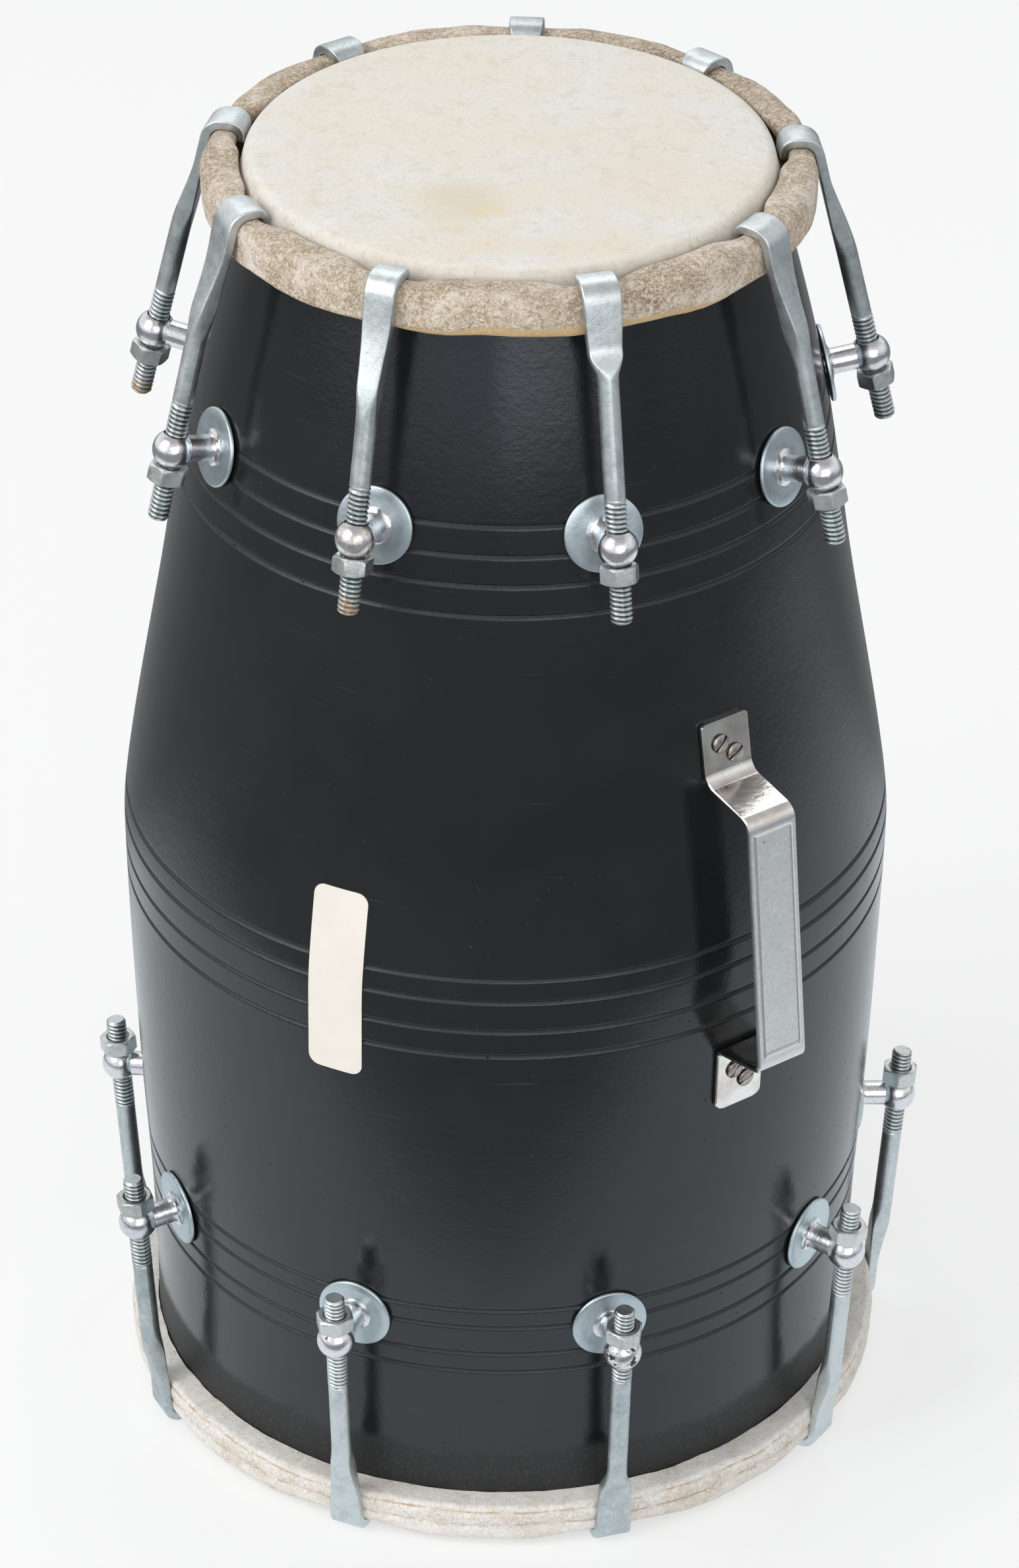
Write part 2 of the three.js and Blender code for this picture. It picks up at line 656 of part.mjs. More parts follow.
for (const end of [treble, bass]) {
  const frame = endFrame(end);
  const group = new THREE.Group();
  group.position.copy(frame.position);
  group.rotation.copy(frame.rotation);
  group.add(piece(`${end.name}_skin`, skinSolid(end), colours[`${end.name}Hide`]));
  group.add(piece(`${end.name}_hoop`, hoopSolid(end), colours.iron));

  const { lean, seat, ball, rodLean } = postPlace(end);
  const [post, hook, nut] = [postSolid(end), hookSolid(end), nutSolid()];
  hookAngles.forEach((angle, k) => {
    const spoke = new THREE.Group();
    spoke.rotation.z = angle;
    const eye = piece(`${end.name}_eye_post_${k + 1}`, post, colours.chrome);
    eye.position.set(0, -seat.x, seat.y);
    eye.rotation.x = Math.PI / 2 - lean;
    const rod = new THREE.Group();
    rod.position.set(0, -ball.x, ball.y);
    rod.rotation.x = -rodLean;
    rod.add(piece(`${end.name}_hook_${k + 1}`, hook, colours.zinc));
    rod.add(piece(`${end.name}_nut_${k + 1}`, nut, colours.zinc));
    spoke.add(eye, rod);
    group.add(spoke);
  });
  drum.add(group);
}

export default drum;
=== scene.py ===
import json
import random
from math import asin, atan, atan2, ceil, cos, degrees, exp, hypot, pi, radians, remainder, sin, sqrt, tan
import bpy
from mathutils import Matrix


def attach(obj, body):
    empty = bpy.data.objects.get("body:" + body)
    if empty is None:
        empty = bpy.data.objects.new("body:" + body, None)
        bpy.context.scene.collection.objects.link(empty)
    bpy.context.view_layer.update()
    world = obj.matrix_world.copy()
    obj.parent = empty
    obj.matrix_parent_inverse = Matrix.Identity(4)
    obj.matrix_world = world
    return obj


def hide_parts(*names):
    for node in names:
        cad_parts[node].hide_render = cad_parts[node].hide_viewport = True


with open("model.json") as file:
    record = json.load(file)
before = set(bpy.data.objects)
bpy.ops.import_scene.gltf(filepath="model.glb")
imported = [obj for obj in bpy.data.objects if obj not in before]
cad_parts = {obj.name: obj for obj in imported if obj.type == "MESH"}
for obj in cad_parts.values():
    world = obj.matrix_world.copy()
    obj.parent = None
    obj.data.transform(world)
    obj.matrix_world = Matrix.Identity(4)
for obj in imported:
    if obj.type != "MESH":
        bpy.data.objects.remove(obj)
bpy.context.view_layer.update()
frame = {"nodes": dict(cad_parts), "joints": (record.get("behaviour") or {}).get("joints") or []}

from types import SimpleNamespace as End

import bpy
from mathutils import Matrix, Vector, noise

scene = bpy.context.scene
MM = 0.001
DRAW = random.Random(27)
PHOTO_TURN = radians(36.7)      # of the camera round the drum

# Sizes in millimetres, as in the part. The shell's outline is (share of its length, share of BELLY),
# and a band of grooves is its middle and width as shares of that length, with its lines across it
SHELL_LENGTH = 522.2
BELLY = 147.3
WALL = 15.0
OUTLINE = [
    (0, 0.947), (0.0595, 0.9478), (0.1423, 0.9552), (0.2457, 0.9756), (0.3481, 0.9898), (0.4563, 1),
    (0.4812, 0.9975), (0.5234, 0.9776), (0.5751, 0.947), (0.6765, 0.8832), (0.8275, 0.7975), (1, 0.6441),
]
GROOVES = [
    (0.1669, 0.058, (-0.5, -0.21, 0.22, 0.5)),
    (0.4597, 0.0642, (-0.5, -0.17, 0.22, 0.5)),
    (0.795, 0.0647, (-0.5, -0.16, 0.17, 0.5)),
]
LINES = [(m + s * w) * SHELL_LENGTH for m, w, shares in GROOVES for s in shares]
GROOVE_HALF = 1.2
GROOVE_DEPTH = 1.1
FLAT = cos(pi / 36)             # the part's shell has 36 sides
GAP = 0.3
TREBLE = End(
    name="treble", skin=1.2, rim_round=3, roll_gap=0.6, roll=9.9, height=16.7, proud=-3.4, round=4.4,
    lap=2.5, tail=2, post=94.4, tip=2.4, beyond_nut=15, forged=46.0, forged_spade=27.0,
    bulge=1.0, crown=1.0, swell=0.8, wander=1.3,
)
BASS = End(
    name="bass", skin=1.4, rim_round=8, roll_gap=0.4, roll=8.2, height=16.5, proud=1.1, round=3.6,
    lap=1.8, tail=2, post=93, tip=2, beyond_nut=8, forged=38.0, forged_spade=30.0,
    bulge=0.0, crown=1.7, swell=0.3, wander=0.5,
)
BASS_CREASES = (13.9, 7.1)
BASS_SAG = 1.1
PASTE_RADIUS = 52
PASTE_THICK = 3
ROD = 4.0
ROD_FLAT = ROD * cos(pi / 8)    # the part's rods have 8 sides
PLAIN_ROD = 3.86
PITCH = 1.8
THREAD_DEPTH = 0.8
CLAW = 3.6
CLAW_WIDTH = 14.0
TIP = 2.4
TIP_WIDTH = 11.0
NUT_FLATS = 13.0
NUT_HEIGHT = 6.5
STAND_OFF = 18.5
BALL = 7.4
SHANK = 4.9
STEM = 4.0
WASHER = 14.75
WASHER_THICK = 1.5
BACK_WASHER = 10.0
HOLE = (ROD_FLAT + GAP) / cos(pi / 8)
NUT_SEAT = sqrt(BALL ** 2 - HOLE ** 2) + GAP
STRIP = 21.5
STRIP_THICK = 2.0
HANDLE_MIDDLE = 271.75
HANDLE_LENGTH = 162.5
PLATES = (27, 23.5)
GRIP_OFF = 25.0
LEG_RUN = 4.5
SCREW_HEAD = 3.7
SCREW_HIGH = 1.6
SCREW_SPREAD = 8.2
BASS_RIM = CLAW + GAP + BASS.proud + BASS.skin + GAP
TREBLE_RIM = BASS_RIM + SHELL_LENGTH


def shell_radius(height):
    """The outline as a smooth curve through its points."""
    share = height / SHELL_LENGTH
    k = sum(share > x for x, _ in OUTLINE[1:-1])

    def steep(i):
        (x0, y0), (x1, y1) = OUTLINE[max(i - 1, 0)], OUTLINE[min(i + 1, len(OUTLINE) - 1)]
        return (y1 - y0) / (x1 - x0)

    (x0, y0), (x1, y1) = OUTLINE[k], OUTLINE[k + 1]
    span = x1 - x0
    t = (share - x0) / span
    start = (1 + 2 * t) * (1 - t) ** 2 * y0 + t * (1 - t) ** 2 * span * steep(k)
    stop = t ** 2 * (3 - 2 * t) * y1 + t ** 2 * (t - 1) * span * steep(k + 1)
    return BELLY * (start + stop)


def radius_from_end(end, depth):
    return shell_radius(SHELL_LENGTH - depth if end is TREBLE else depth)


def lean_from_end(end, depth):
    return atan((radius_from_end(end, depth + 2) - radius_from_end(end, depth - 2)) / 4)


def roll_sizes(end):
    face = GAP + end.skin
    top = face + end.proud
    back = top - end.height
    inner = radius_from_end(end, -back) + face + end.roll_gap
    return face, top, back, inner, inner + end.roll


# Meshes, in millimetres
SQUARE = ((-1, -1), (1, -1), (1, 1), (-1, 1))


def smooth_step(t):
    t = min(max(t, 0.0), 1.0)
    return t * t * (3 - 2 * t)


def bell(distance, width):
    return exp(-(distance / width) ** 2)


def bumps(point, size, shift=(0, 0, 0)):
    """A noise from -1 to 1, with bumps of about a size."""
    return noise.noise(Vector(point) / size + Vector(shift))


def polar(radius, angle, *rest):
    return radius * cos(angle), radius * sin(angle), *rest


def arc(centre, radius, start, stop, steps):
    around = (polar(radius, start + (stop - start) * k / steps) for k in range(steps + 1))
    return [(centre[0] + x, centre[1] + y) for x, y in around]


def offset_path(path, distance):
    runs = [Vector((x1 - x0, y1 - y0)).normalized() for (x0, y0), (x1, y1) in zip(path, path[1:])]
    out = []
    for (x, y), one, two in zip(path, runs[:1] + runs, runs + runs[-1:]):
        mitre = Vector((-one.y - two.y, one.x + two.x)).normalized()
        reach = distance / max(mitre.dot(Vector((-two.y, two.x))), 0.3)
        out.append((x + mitre.x * reach, y + mitre.y * reach))
    return out


def subdivided(path, step):
    out = [path[0]]
    for (x0, y0), (x1, y1) in zip(path, path[1:]):
        count = max(1, ceil(hypot(x1 - x0, y1 - y0) / step))
        out += [(x0 + (x1 - x0) * k / count, y0 + (y1 - y0) * k / count) for k in range(1, count + 1)]
    return out


def frame_of(place, x, y, z):
    """The matrix that sets a piece's axes along x, y and z, at a place in metres."""
    return Matrix.Translation(place) @ Matrix((x, y, z)).transposed().to_4x4()


def make(name, verts, faces, look, sharp=35.0, place=Matrix()):
    """A piece from points in millimetres. Its place is in metres."""
    mesh = bpy.data.meshes.new(name)
    mesh.from_pydata([Vector(v) * MM for v in verts], [], faces)
    mesh.validate()
    mesh.shade_smooth()
    mesh.set_sharp_from_angle(angle=radians(sharp))
    mesh.materials.append(look)
    piece = bpy.data.objects.new(name, mesh)
    scene.collection.objects.link(piece)
    piece.matrix_world = place
    return piece


def rings_to_faces(rings, closed=False):
    """Faces through rings of vertex numbers; a ring of one number is a pole."""
    faces = []
    for low, high in zip(rings, rings[1:] + rings[:1] * closed):
        count = max(len(low), len(high))
        for i in range(count):
            j = (i + 1) % count
            if len(low) == 1:
                faces.append((low[0], high[j], high[i]))
            elif len(high) == 1:
                faces.append((low[i], low[j], high[0]))
            else:
                faces.append((low[i], low[j], high[j], high[i]))
    return faces


def turned(profile, segments, closed=False, wobble=None):
    """A profile of (radius, height) turned about Z."""
    verts, rings = [], []
    for row, (radius, height) in enumerate(profile):
        ring = []
        for i in range(1 if abs(radius) < 1e-6 else segments):
            angle = 2 * pi * i / segments
            point = Vector(polar(radius, angle, height))
            ring.append(len(verts))
            verts.append(wobble(point, angle, row) if wobble else point)
        rings.append(ring)
    return verts, rings_to_faces(rings, closed)


def lofted(sections, closed=False):
    """Rings of equally many points: closed to one another, or with a flat face at both ends."""
    count = len(sections[0])
    rings = [list(range(k * count, (k + 1) * count)) for k in range(len(sections))]
    ends = [] if closed else [tuple(reversed(rings[0])), tuple(rings[-1])]
    return [p for ring in sections for p in ring], rings_to_faces(rings, closed) + ends


def joined(*parts):
    verts, faces = [], []
    for v, f in parts:
        faces += [tuple(i + len(verts) for i in face) for face in f]
        verts += v
    return verts, faces


def inside_out(verts, faces):
    return verts, [tuple(reversed(face)) for face in faces]


def cut(piece, tool):
    """Cuts a closed tool piece out of a closed piece, and deletes the tool."""
    change = piece.modifiers.new("cut", "BOOLEAN")
    change.object, change.operation, change.solver = tool, "DIFFERENCE", "EXACT"
    bpy.context.view_layer.update()
    mesh = bpy.data.meshes.new_from_object(piece.evaluated_get(bpy.context.evaluated_depsgraph_get()))
    piece.modifiers.clear()
    whole, piece.data = piece.data, mesh
    mesh.name = piece.name
    bpy.data.meshes.remove(whole)
    bpy.data.objects.remove(tool)
    return piece


def paint(piece, **attributes):
    """Numbers on the points: one number, one for each, or a function of a point in millimetres."""
    points = piece.data.vertices
    for name, value in attributes.items():
        if callable(value):
            value = [value(v.co / MM) for v in points]
        elif not isinstance(value, tuple):
            value = [value] * len(points)
        piece.data.attributes.new(name, "FLOAT", "POINT").data.foreach_set("value", value)


def rounded_off(near, radius):
    """How much a rounded corner takes off each side of a strip, this near to the strip's end."""
    return radius - sqrt(max(radius ** 2 - (radius - near) ** 2, 0)) if near < radius else 0.0


# Materials
def operator(name):
    return lambda self, other: self.nodes.math(name, self, other)


class Value:
    """An output of a node. Arithmetic on it adds nodes."""

    def __init__(self, nodes, socket):
        self.nodes, self.socket = nodes, socket

    __add__, __sub__, __mul__ = operator("ADD"), operator("SUBTRACT"), operator("MULTIPLY")
    __truediv__, or_more = operator("DIVIDE"), operator("MAXIMUM")

    def __rsub__(self, other):
        return self.nodes.math("SUBTRACT", other, self)

    def mapped(self, low, high, new_low=0.0, new_high=1.0, **settings):
        return self.nodes.out("Result", "ShaderNodeMapRange", {
            "Value": self, "From Min": low, "From Max": high, "To Min": new_low, "To Max": new_high}, **settings)

    def between(self, low, high):
        """0 at low, 1 at high, smooth between."""
        return self.mapped(low, high, interpolation_type="SMOOTHSTEP")

    def spread(self, low, high):
        """A noise, which lies about one half, as a number from low to high."""
        return self.mapped(0.25, 0.75, low, high)

    def ramp(self, *stops):
        node = self.nodes.add("ShaderNodeValToRGB", {"Fac": self})
        band = node.color_ramp
        while len(band.elements) < len(stops):
            band.elements.new(0.5)
        for element, (place, colour) in zip(band.elements, stops):
            element.position = place
            element.color = (*colour, 1)
        return Value(self.nodes, node.outputs["Color"])


class Nodes:
    """Short ways to add nodes to a tree."""

    def __init__(self, tree):
        self.tree = tree

    def put(self, value, target):
        if isinstance(value, Value):
            self.tree.links.new(value.socket, target)
        elif target.type == "RGBA" and len(value) == 3:
            target.default_value = (*value, 1)
        else:
            target.default_value = value

    def add(self, kind, inputs=(), **settings):
        node = self.tree.nodes.new(kind)
        for key, value in settings.items():
            setattr(node, key, value)
        for key, value in dict(inputs).items():
            self.put(value, node.inputs[key])
        return node

    def out(self, output, kind, inputs=(), **settings):
        return Value(self, self.add(kind, inputs, **settings).outputs[output])

    def math(self, operation, a, b, clamp=False):
        return self.out(0, "ShaderNodeMath", {0: a, 1: b}, operation=operation, use_clamp=clamp)

    def vector(self, operation, a, b):
        return self.out(0, "ShaderNodeVectorMath", {0: a, 1: b}, operation=operation)

    def length(self, vector):
        return self.out("Value", "ShaderNodeVectorMath", {0: vector}, operation="LENGTH")

    def as_in_photo(self, vector):
        """A place with X to the camera's right and Y away from it."""
        return self.out(0, "ShaderNodeVectorRotate", {"Vector": vector, "Angle": PHOTO_TURN},
                        rotation_type="Z_AXIS")

    def xyz(self, vector):
        return [Value(self, s) for s in self.add("ShaderNodeSeparateXYZ", {"Vector": vector}).outputs]

    def mix(self, share, a, b):
        return self.out(2, "ShaderNodeMix", {0: share, 6: a, 7: b}, data_type="RGBA")

    def coats(self, base, *coats):
        """A colour under coats of (share, colour)."""
        for share, colour in coats:
            base = self.mix(share, base, colour)
        return base


class Look(Nodes):
    """A material of nodes round one Principled shader."""

    def __init__(self, name, **sockets):
        self.material = bpy.data.materials.new(name)
        self.material.use_nodes = True
        super().__init__(self.material.node_tree)
        self.shader = self.tree.nodes["Principled BSDF"]
        self.set(**sockets)
        self.where = self.out("Object", "ShaderNodeTexCoord")

    def set(self, **sockets):
        for name, value in sockets.items():
            self.put(value, self.shader.inputs[name.replace("_", " ")])
        return self.material

    def field(self, scale, detail=3.0, roughness=0.55, stretch=None, bend=0.0, w=None):
        inputs = {"Vector": self.vector("MULTIPLY", self.where, stretch) if stretch else self.where,
                  "Scale": scale, "Detail": detail, "Roughness": roughness, "Distortion": bend}
        if w is not None:
            inputs["W"] = w
        return self.out("Fac", "ShaderNodeTexNoise", inputs, noise_dimensions="3D" if w is None else "4D")

    def attributes(self, *names):
        return [self.out("Fac", "ShaderNodeAttribute", attribute_name=name) for name in names]

    def bump(self, *layers):
        """Layers of (height, depth in millimetres), one over the other."""
        normal = {}
        for height, depth in layers:
            normal = {"Normal": self.out("Normal", "ShaderNodeBump", {
                "Height": height, "Strength": 1.0, "Distance": depth * MM, **normal})}
        return normal["Normal"]

    def spots(self, scale, size, kept):
        """Small dots: one in some of the cells of a grid, kept is the share of cells that have one."""
        cells = self.add("ShaderNodeTexVoronoi", {"Vector": self.where, "Scale": scale})
        near = Value(self, cells.outputs["Distance"]).between(size, size * 0.5)
        red = self.out(0, "ShaderNodeSeparateColor", {"Color": Value(self, cells.outputs["Color"])})
        return near * self.math("GREATER_THAN", red, 1 - kept)


def lacquer():
    look = Look("black_lacquer", IOR=1.54, Specular_Tint=(0.86, 0.94, 1.0, 1.0))
    groove, = look.attributes("groove")
    streaks = look.field(1.0, 5, 0.65, (16, 16, 520))
    cloud = look.field(14, 4)
    dust = look.spots(230, 0.05, 0.12)
    pits = look.spots(230, 0.11, 0.3) * look.field(8, 2).between(0.5, 0.58)
    pits = pits.or_more(look.spots(70, 0.04, 0.12))
    scratch = look.field(1.0, 2, 0.5, (30, 30, 900)).between(0.7, 0.78)
    ragged = look.xyz(look.where)[2] + (look.field(45, 5, 0.7) - 0.5) * 0.012
    grime = ragged.between(0.043, 0.036)
    grit = grime * look.field(900, 3, 0.7).between(0.54, 0.62)
    rough = cloud.spread(0.135, 0.215) + streaks.spread(-0.015, 0.025)
    return look.set(
        Base_Color=look.coats(
            cloud.ramp((0.3, (0.0075, 0.0078, 0.0085)), (0.7, (0.0125, 0.0125, 0.013))),
            (scratch * 0.12, (0.12, 0.12, 0.12)), (dust * 0.5, (0.2, 0.19, 0.17)),
            (grime * 0.5, (0.012, 0.01, 0.007)), (grit * 0.6, (0.045, 0.04, 0.03)), (pits, (0.002, 0.002, 0.002)),
        ),
        Roughness=look.math("ADD", rough + groove * 0.4 + grime * 0.4 + dust * 0.3, pits * 0.7, clamp=True),
        Normal=look.bump(
            (look.field(60, 2, 0.5), 0.06), (streaks, 0.014), (look.field(260, 4, 0.65), 0.07),
            (look.field(620, 3, 0.6), 0.045), (pits, -0.35), (look.field(500, 4, 0.7) * groove, 0.5),
        ),
    )


def two_tone(name, field, dark, light, rough, depth, **sockets):
    """A material of one noise: its colours, its range of roughness and the depth of its bumps."""
    look = Look(name, **sockets)
    grain = look.field(*field)
    return look.set(Base_Color=grain.ramp((0.3, dark), (0.7, light)), Roughness=grain.spread(*rough),
                    Normal=look.bump((grain, depth)))


def plated(name, light, dark, rough, blemished=0.3, speckled=0.0):
    """Zinc or chrome plate. Attributes of its pieces: seed, tone, rust and flaked."""
    look = Look(name, Metallic=1.0)
    seed, tone, rust, flaked = look.attributes("seed", "tone", "rust", "flaked")

    def field(*shape):
        return look.field(*shape, w=seed)

    patches, stain = field(150, 5, 0.65), field(430, 5, 0.75)
    coats = [(stain.between(0.68 - blemished * 0.12, 0.76) * (0.3 + blemished * 0.4), (0.3, 0.27, 0.23))]
    if speckled:
        coats.append((field(1100, 3, 0.7).between(0.52, 0.62) * speckled, (0.4, 0.35, 0.3)))
    flakes = (field(300, 4, 0.7) + flaked * 0.16).between(0.71, 0.74) * flaked.between(0.05, 0.3)
    bitten = (rust * 0.42 + stain).between(0.66, 0.92) * rust.between(0.0, 0.3)
    rusty = field(900, 3, 0.6).ramp((0.35, (0.22, 0.1, 0.035)), (0.65, (0.62, 0.42, 0.2)))
    coats += [(flakes, (0.03, 0.022, 0.02)), (bitten * 0.85, rusty)]
    dull = (bitten * 0.6).or_more(flakes)
    # The plate's place on this ramp: a random tone per piece, and painted shade in thread valleys and screw slots,
    # which reach the darkest stop.
    plate = (patches * 0.6 + field(800, 3, 0.7) * 0.4 + tone).ramp(
        (0.04, tuple(0.25 * c for c in dark)), (0.34, dark), (0.62, light))
    return look.set(
        Base_Color=look.coats(plate, *coats), Metallic=1.0 - dull * 0.8,
        Roughness=look.math("ADD", patches.spread(rough, rough + 0.14), dull * 0.35, clamp=True),
        Normal=look.bump((patches, 0.16), (stain, 0.09), (field(1500, 2, 0.5), 0.02), (flakes, -0.08)),
    )


def nickel():
    look = Look("nickel_strip", Metallic=1.0)
    panel, = look.attributes("panel")
    patches, beaten = look.field(90, 4, 0.6), look.field(700, 3, 0.6)
    bright = patches.ramp((0.36, (0.66, 0.6, 0.54)), (0.6, (0.84, 0.825, 0.8)))
    matt = beaten.ramp((0.3, (0.62, 0.625, 0.62)), (0.7, (0.74, 0.745, 0.74)))
    return look.set(
        Base_Color=look.coats(bright, (panel, matt), (look.spots(260, 0.16, 0.1) * 0.7, (0.13, 0.09, 0.07))),
        Roughness=patches.spread(0.1, 0.2) + panel * 0.2,
        Normal=look.bump((patches, 0.13), (look.field(1.0, 4, 0.6, (900, 900, 60)), 0.012), (beaten * panel, 0.04)),
    )


def hide(name, pale, warm, mottle, roll, line, stains=()):
    """Skin of a head: a pale middle and a scuffed roll, whose colours go from dark to light.

    Attributes: roll on the roll, edge along the skin's cut edge, line in the creases of the roll, side
    on the skin's way down from the face to the roll."""
    look = Look(name, Specular_IOR_Level=0.25, Sheen_Weight=0.1, Sheen_Roughness=0.5)
    rolled, edge, line_of, side = look.attributes("roll", "edge", "line", "side")
    clouds, fine = look.field(20, 6, 0.6, bend=0.5), look.field(620, 4, 0.7)
    streaks, veins = look.field(1.0, 6, 0.65, (38, 150, 60), 0.6), look.field(150, 6, 0.78, bend=0.4)
    worn, scuffs = look.field(1.0, 4, 0.6, (300, 60, 60), 0.8), look.field(210, 5, 0.75, bend=0.8)
    head = look.coats(
        clouds.ramp((0.38, warm), (0.6, pale)),
        (streaks.between(0.5, 0.64) * 0.6, warm), (veins.between(0.5, 0.64) * 0.45, mottle),
        (fine.between(0.52, 0.64) * 0.42, mottle), (worn.between(0.6, 0.7) * 0.3, (0.86, 0.85, 0.82)),
        (side * 0.35, (0.68, 0.63, 0.56)), (side * scuffs.between(0.5, 0.6) * 0.5, (0.6, 0.49, 0.37)),
    )
    if stains:
        place = look.as_in_photo(look.where)
        ragged = (look.field(75, 5, 0.65) - 0.5) * 1.9
    for (x, y), wide, deep, colour, share in stains:
        ring = look.vector("SUBTRACT", place, (x * MM, y * MM, 0))
        ring = look.vector("MULTIPLY", ring, (1 / (wide * MM), 1 / (deep * MM), 0))
        head = look.mix((look.length(ring) + ragged).between(1.3, 0.35) * share, head, colour)
    dark, middle, light = roll
    patches, curls = look.field(75, 6, 0.7, bend=0.4), look.field(340, 5, 0.72, bend=2.2)
    fluff = look.field(900, 3, 0.7, bend=1.0)
    creases = line_of.between(0.45, 0.95) * look.field(130, 4, 0.7).between(0.4, 0.6)
    specks = line_of.between(0.0, 0.4) * look.field(800, 3, 0.7, bend=0.5).between(0.5, 0.64)
    suede = look.coats(
        (patches * 0.7 + look.field(9, 2, 0.5) * 0.3).ramp((0.36, dark), (0.5, middle), (0.63, light)),
        (curls.between(0.5, 0.56) * 0.55, light), (curls.between(0.46, 0.38) * 0.48, dark),
        (fluff.between(0.52, 0.6) * 0.62, light), (fluff.between(0.46, 0.36) * 0.45, dark),
        ((creases * 0.8).or_more(specks * 0.5), line),
    )
    return look.set(
        Base_Color=look.coats(head, (rolled, suede), (edge * 0.85, (0.62, 0.42, 0.2))),
        Roughness=curls.spread(0.62, 0.82),
        Normal=look.bump((clouds, 0.4), (curls * rolled, 0.55), (patches * rolled, 0.8), (fine, 0.05),
                         (fluff * rolled, 0.16)),
    )


def paper():
    look = Look("bare_sticker", Specular_IOR_Level=0.45)
    fibre = look.field(1200, 2)
    return look.set(
        Base_Color=look.field(60, 3).ramp((0.3, (0.76, 0.71, 0.65)), (0.7, (0.81, 0.765, 0.705))),
        Roughness=fibre.spread(0.34, 0.44), Normal=look.bump((fibre, 0.01), (look.field(90, 2), 0.08)),
    )


def cracked_paste():
    look = Look("tuning_paste", Specular_IOR_Level=0.3)
    to_crack = look.out("Distance", "ShaderNodeTexVoronoi", {"Vector": look.where, "Scale": 240.0},
                        feature="DISTANCE_TO_EDGE")
    grain = look.field(700, 4, 0.7)
    return look.set(
        Base_Color=grain.ramp((0.3, (0.012, 0.01, 0.009)), (0.7, (0.035, 0.028, 0.024))),
        Roughness=grain.spread(0.5, 0.75), Normal=look.bump((to_crack.between(0.0, 0.06), 0.15), (grain, 0.05)),
    )


# Marks on the treble head, in millimetres to the right of and away from the camera: place, half
# width and half depth, colour, strength
STAINS = (
    ((-19, -42), 17, 17, (0.66, 0.6, 0.46), 0.8), ((-8, -52), 7, 6, (0.73, 0.61, 0.4), 0.5),
    ((-21, -66), 9, 4, (0.7, 0.6, 0.42), 0.5), ((28, -38), 34, 15, (0.74, 0.66, 0.53), 0.4),
    ((8, 10), 30, 14, (0.74, 0.67, 0.54), 0.35), ((52, -20), 14, 12, (0.72, 0.64, 0.52), 0.35),
    ((-45, 5), 24, 20, (0.75, 0.68, 0.56), 0.3), ((10, -78), 42, 7, (0.74, 0.62, 0.46), 0.4),
)
LACQUER = lacquer()
WOOD = two_tone("turned_wood", (1.0, 5, 0.6, (60, 60, 9)), (0.22, 0.12, 0.055), (0.42, 0.26, 0.13),
                (0.6, 0.8), 0.2, Specular_IOR_Level=0.3)
HOOK_ZINC = plated("zinc_hook", (0.64, 0.68, 0.685), (0.38, 0.42, 0.43), 0.36, 0.5)
NUT_ZINC = plated("zinc_nut", (0.7, 0.72, 0.7), (0.4, 0.43, 0.41), 0.3, 0.5)
POST_CHROME = plated("chrome_post", (0.78, 0.78, 0.8), (0.62, 0.63, 0.66), 0.1, 0.5, 0.3)
WASHER_ZINC = plated("zinc_washer", (0.58, 0.66, 0.69), (0.45, 0.52, 0.56), 0.32)
SCREW_STEEL = plated("tarnished_screw", (0.5, 0.48, 0.46), (0.24, 0.2, 0.18), 0.22, 0.6)
NICKEL = nickel()
TREBLE_HIDE = hide(
    "treble_hide", (0.735, 0.722, 0.695), (0.735, 0.69, 0.605), (0.6, 0.53, 0.42),
    ((0.27, 0.19, 0.115), (0.46, 0.36, 0.25), (0.8, 0.72, 0.63)), (0.4, 0.28, 0.16), STAINS,
)
BASS_HIDE = hide(
    "bass_hide", (0.76, 0.72, 0.64), (0.72, 0.65, 0.55), (0.56, 0.46, 0.34),
    ((0.7, 0.61, 0.5), (0.9, 0.865, 0.81), (0.95, 0.94, 0.92)), (0.5, 0.33, 0.18),
)
PAPER = paper()
HOOP_STEEL = two_tone("plain_steel", (200, 4), (0.2, 0.18, 0.16), (0.36, 0.34, 0.31), (0.4, 0.6), 0.1,
                      Metallic=1.0)
PASTE = cracked_paste()


# Shell
def build_shell(segments=240):
    low_round, top_round = BASS.rim_round, TREBLE.rim_round
    heights = {
        height for height in range(low_round, int(SHELL_LENGTH) - top_round, 4)
        if min(abs(height - line) for line in LINES) > GROOVE_HALF * 1.5
    }
    heights |= {round(line + side * GROOVE_HALF * step, 3) for line in LINES
                for step in (0, 0.3, 0.6, 0.85, 1.1, 1.4) for side in (-1, 1)}
    outer = []
    for height in sorted(heights):
        near = min(min(abs(height - line) for line in LINES) / GROOVE_HALF, 1)
        outer.append((shell_radius(height) - (GROOVE_DEPTH * (0.5 + 0.5 * cos(pi * near))) ** 0.8, height))
    low = arc((shell_radius(low_round) - low_round, low_round), low_round, -pi / 2, 0, 8)
    top = SHELL_LENGTH - top_round
    top = arc((shell_radius(top) - top_round, top), top_round, 0, pi / 2, 8)
    bore = [(shell_radius(k / 24 * SHELL_LENGTH) - WALL, k / 24 * SHELL_LENGTH) for k in range(24, -1, -1)]
    outside = low[:-1] + outer + top[1:]

    def wobble(point, angle, row):
        return point + Vector(polar(bumps(point, 70) * 0.12, angle, BASS_RIM))

    piece = make("shell_body", *turned(outside + bore, segments, closed=True, wobble=wobble), LACQUER, 50)
    piece.data.materials.append(WOOD)
    for face in piece.data.polygons[(len(outside) - 1) * segments:]:
        face.material_index = 1
    paint(piece, groove=lambda p: smooth_step(
        1.15 - min(abs(p.z - line - BASS_RIM) for line in LINES) / GROOVE_HALF))
    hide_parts("shell")
    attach(piece, "drum")


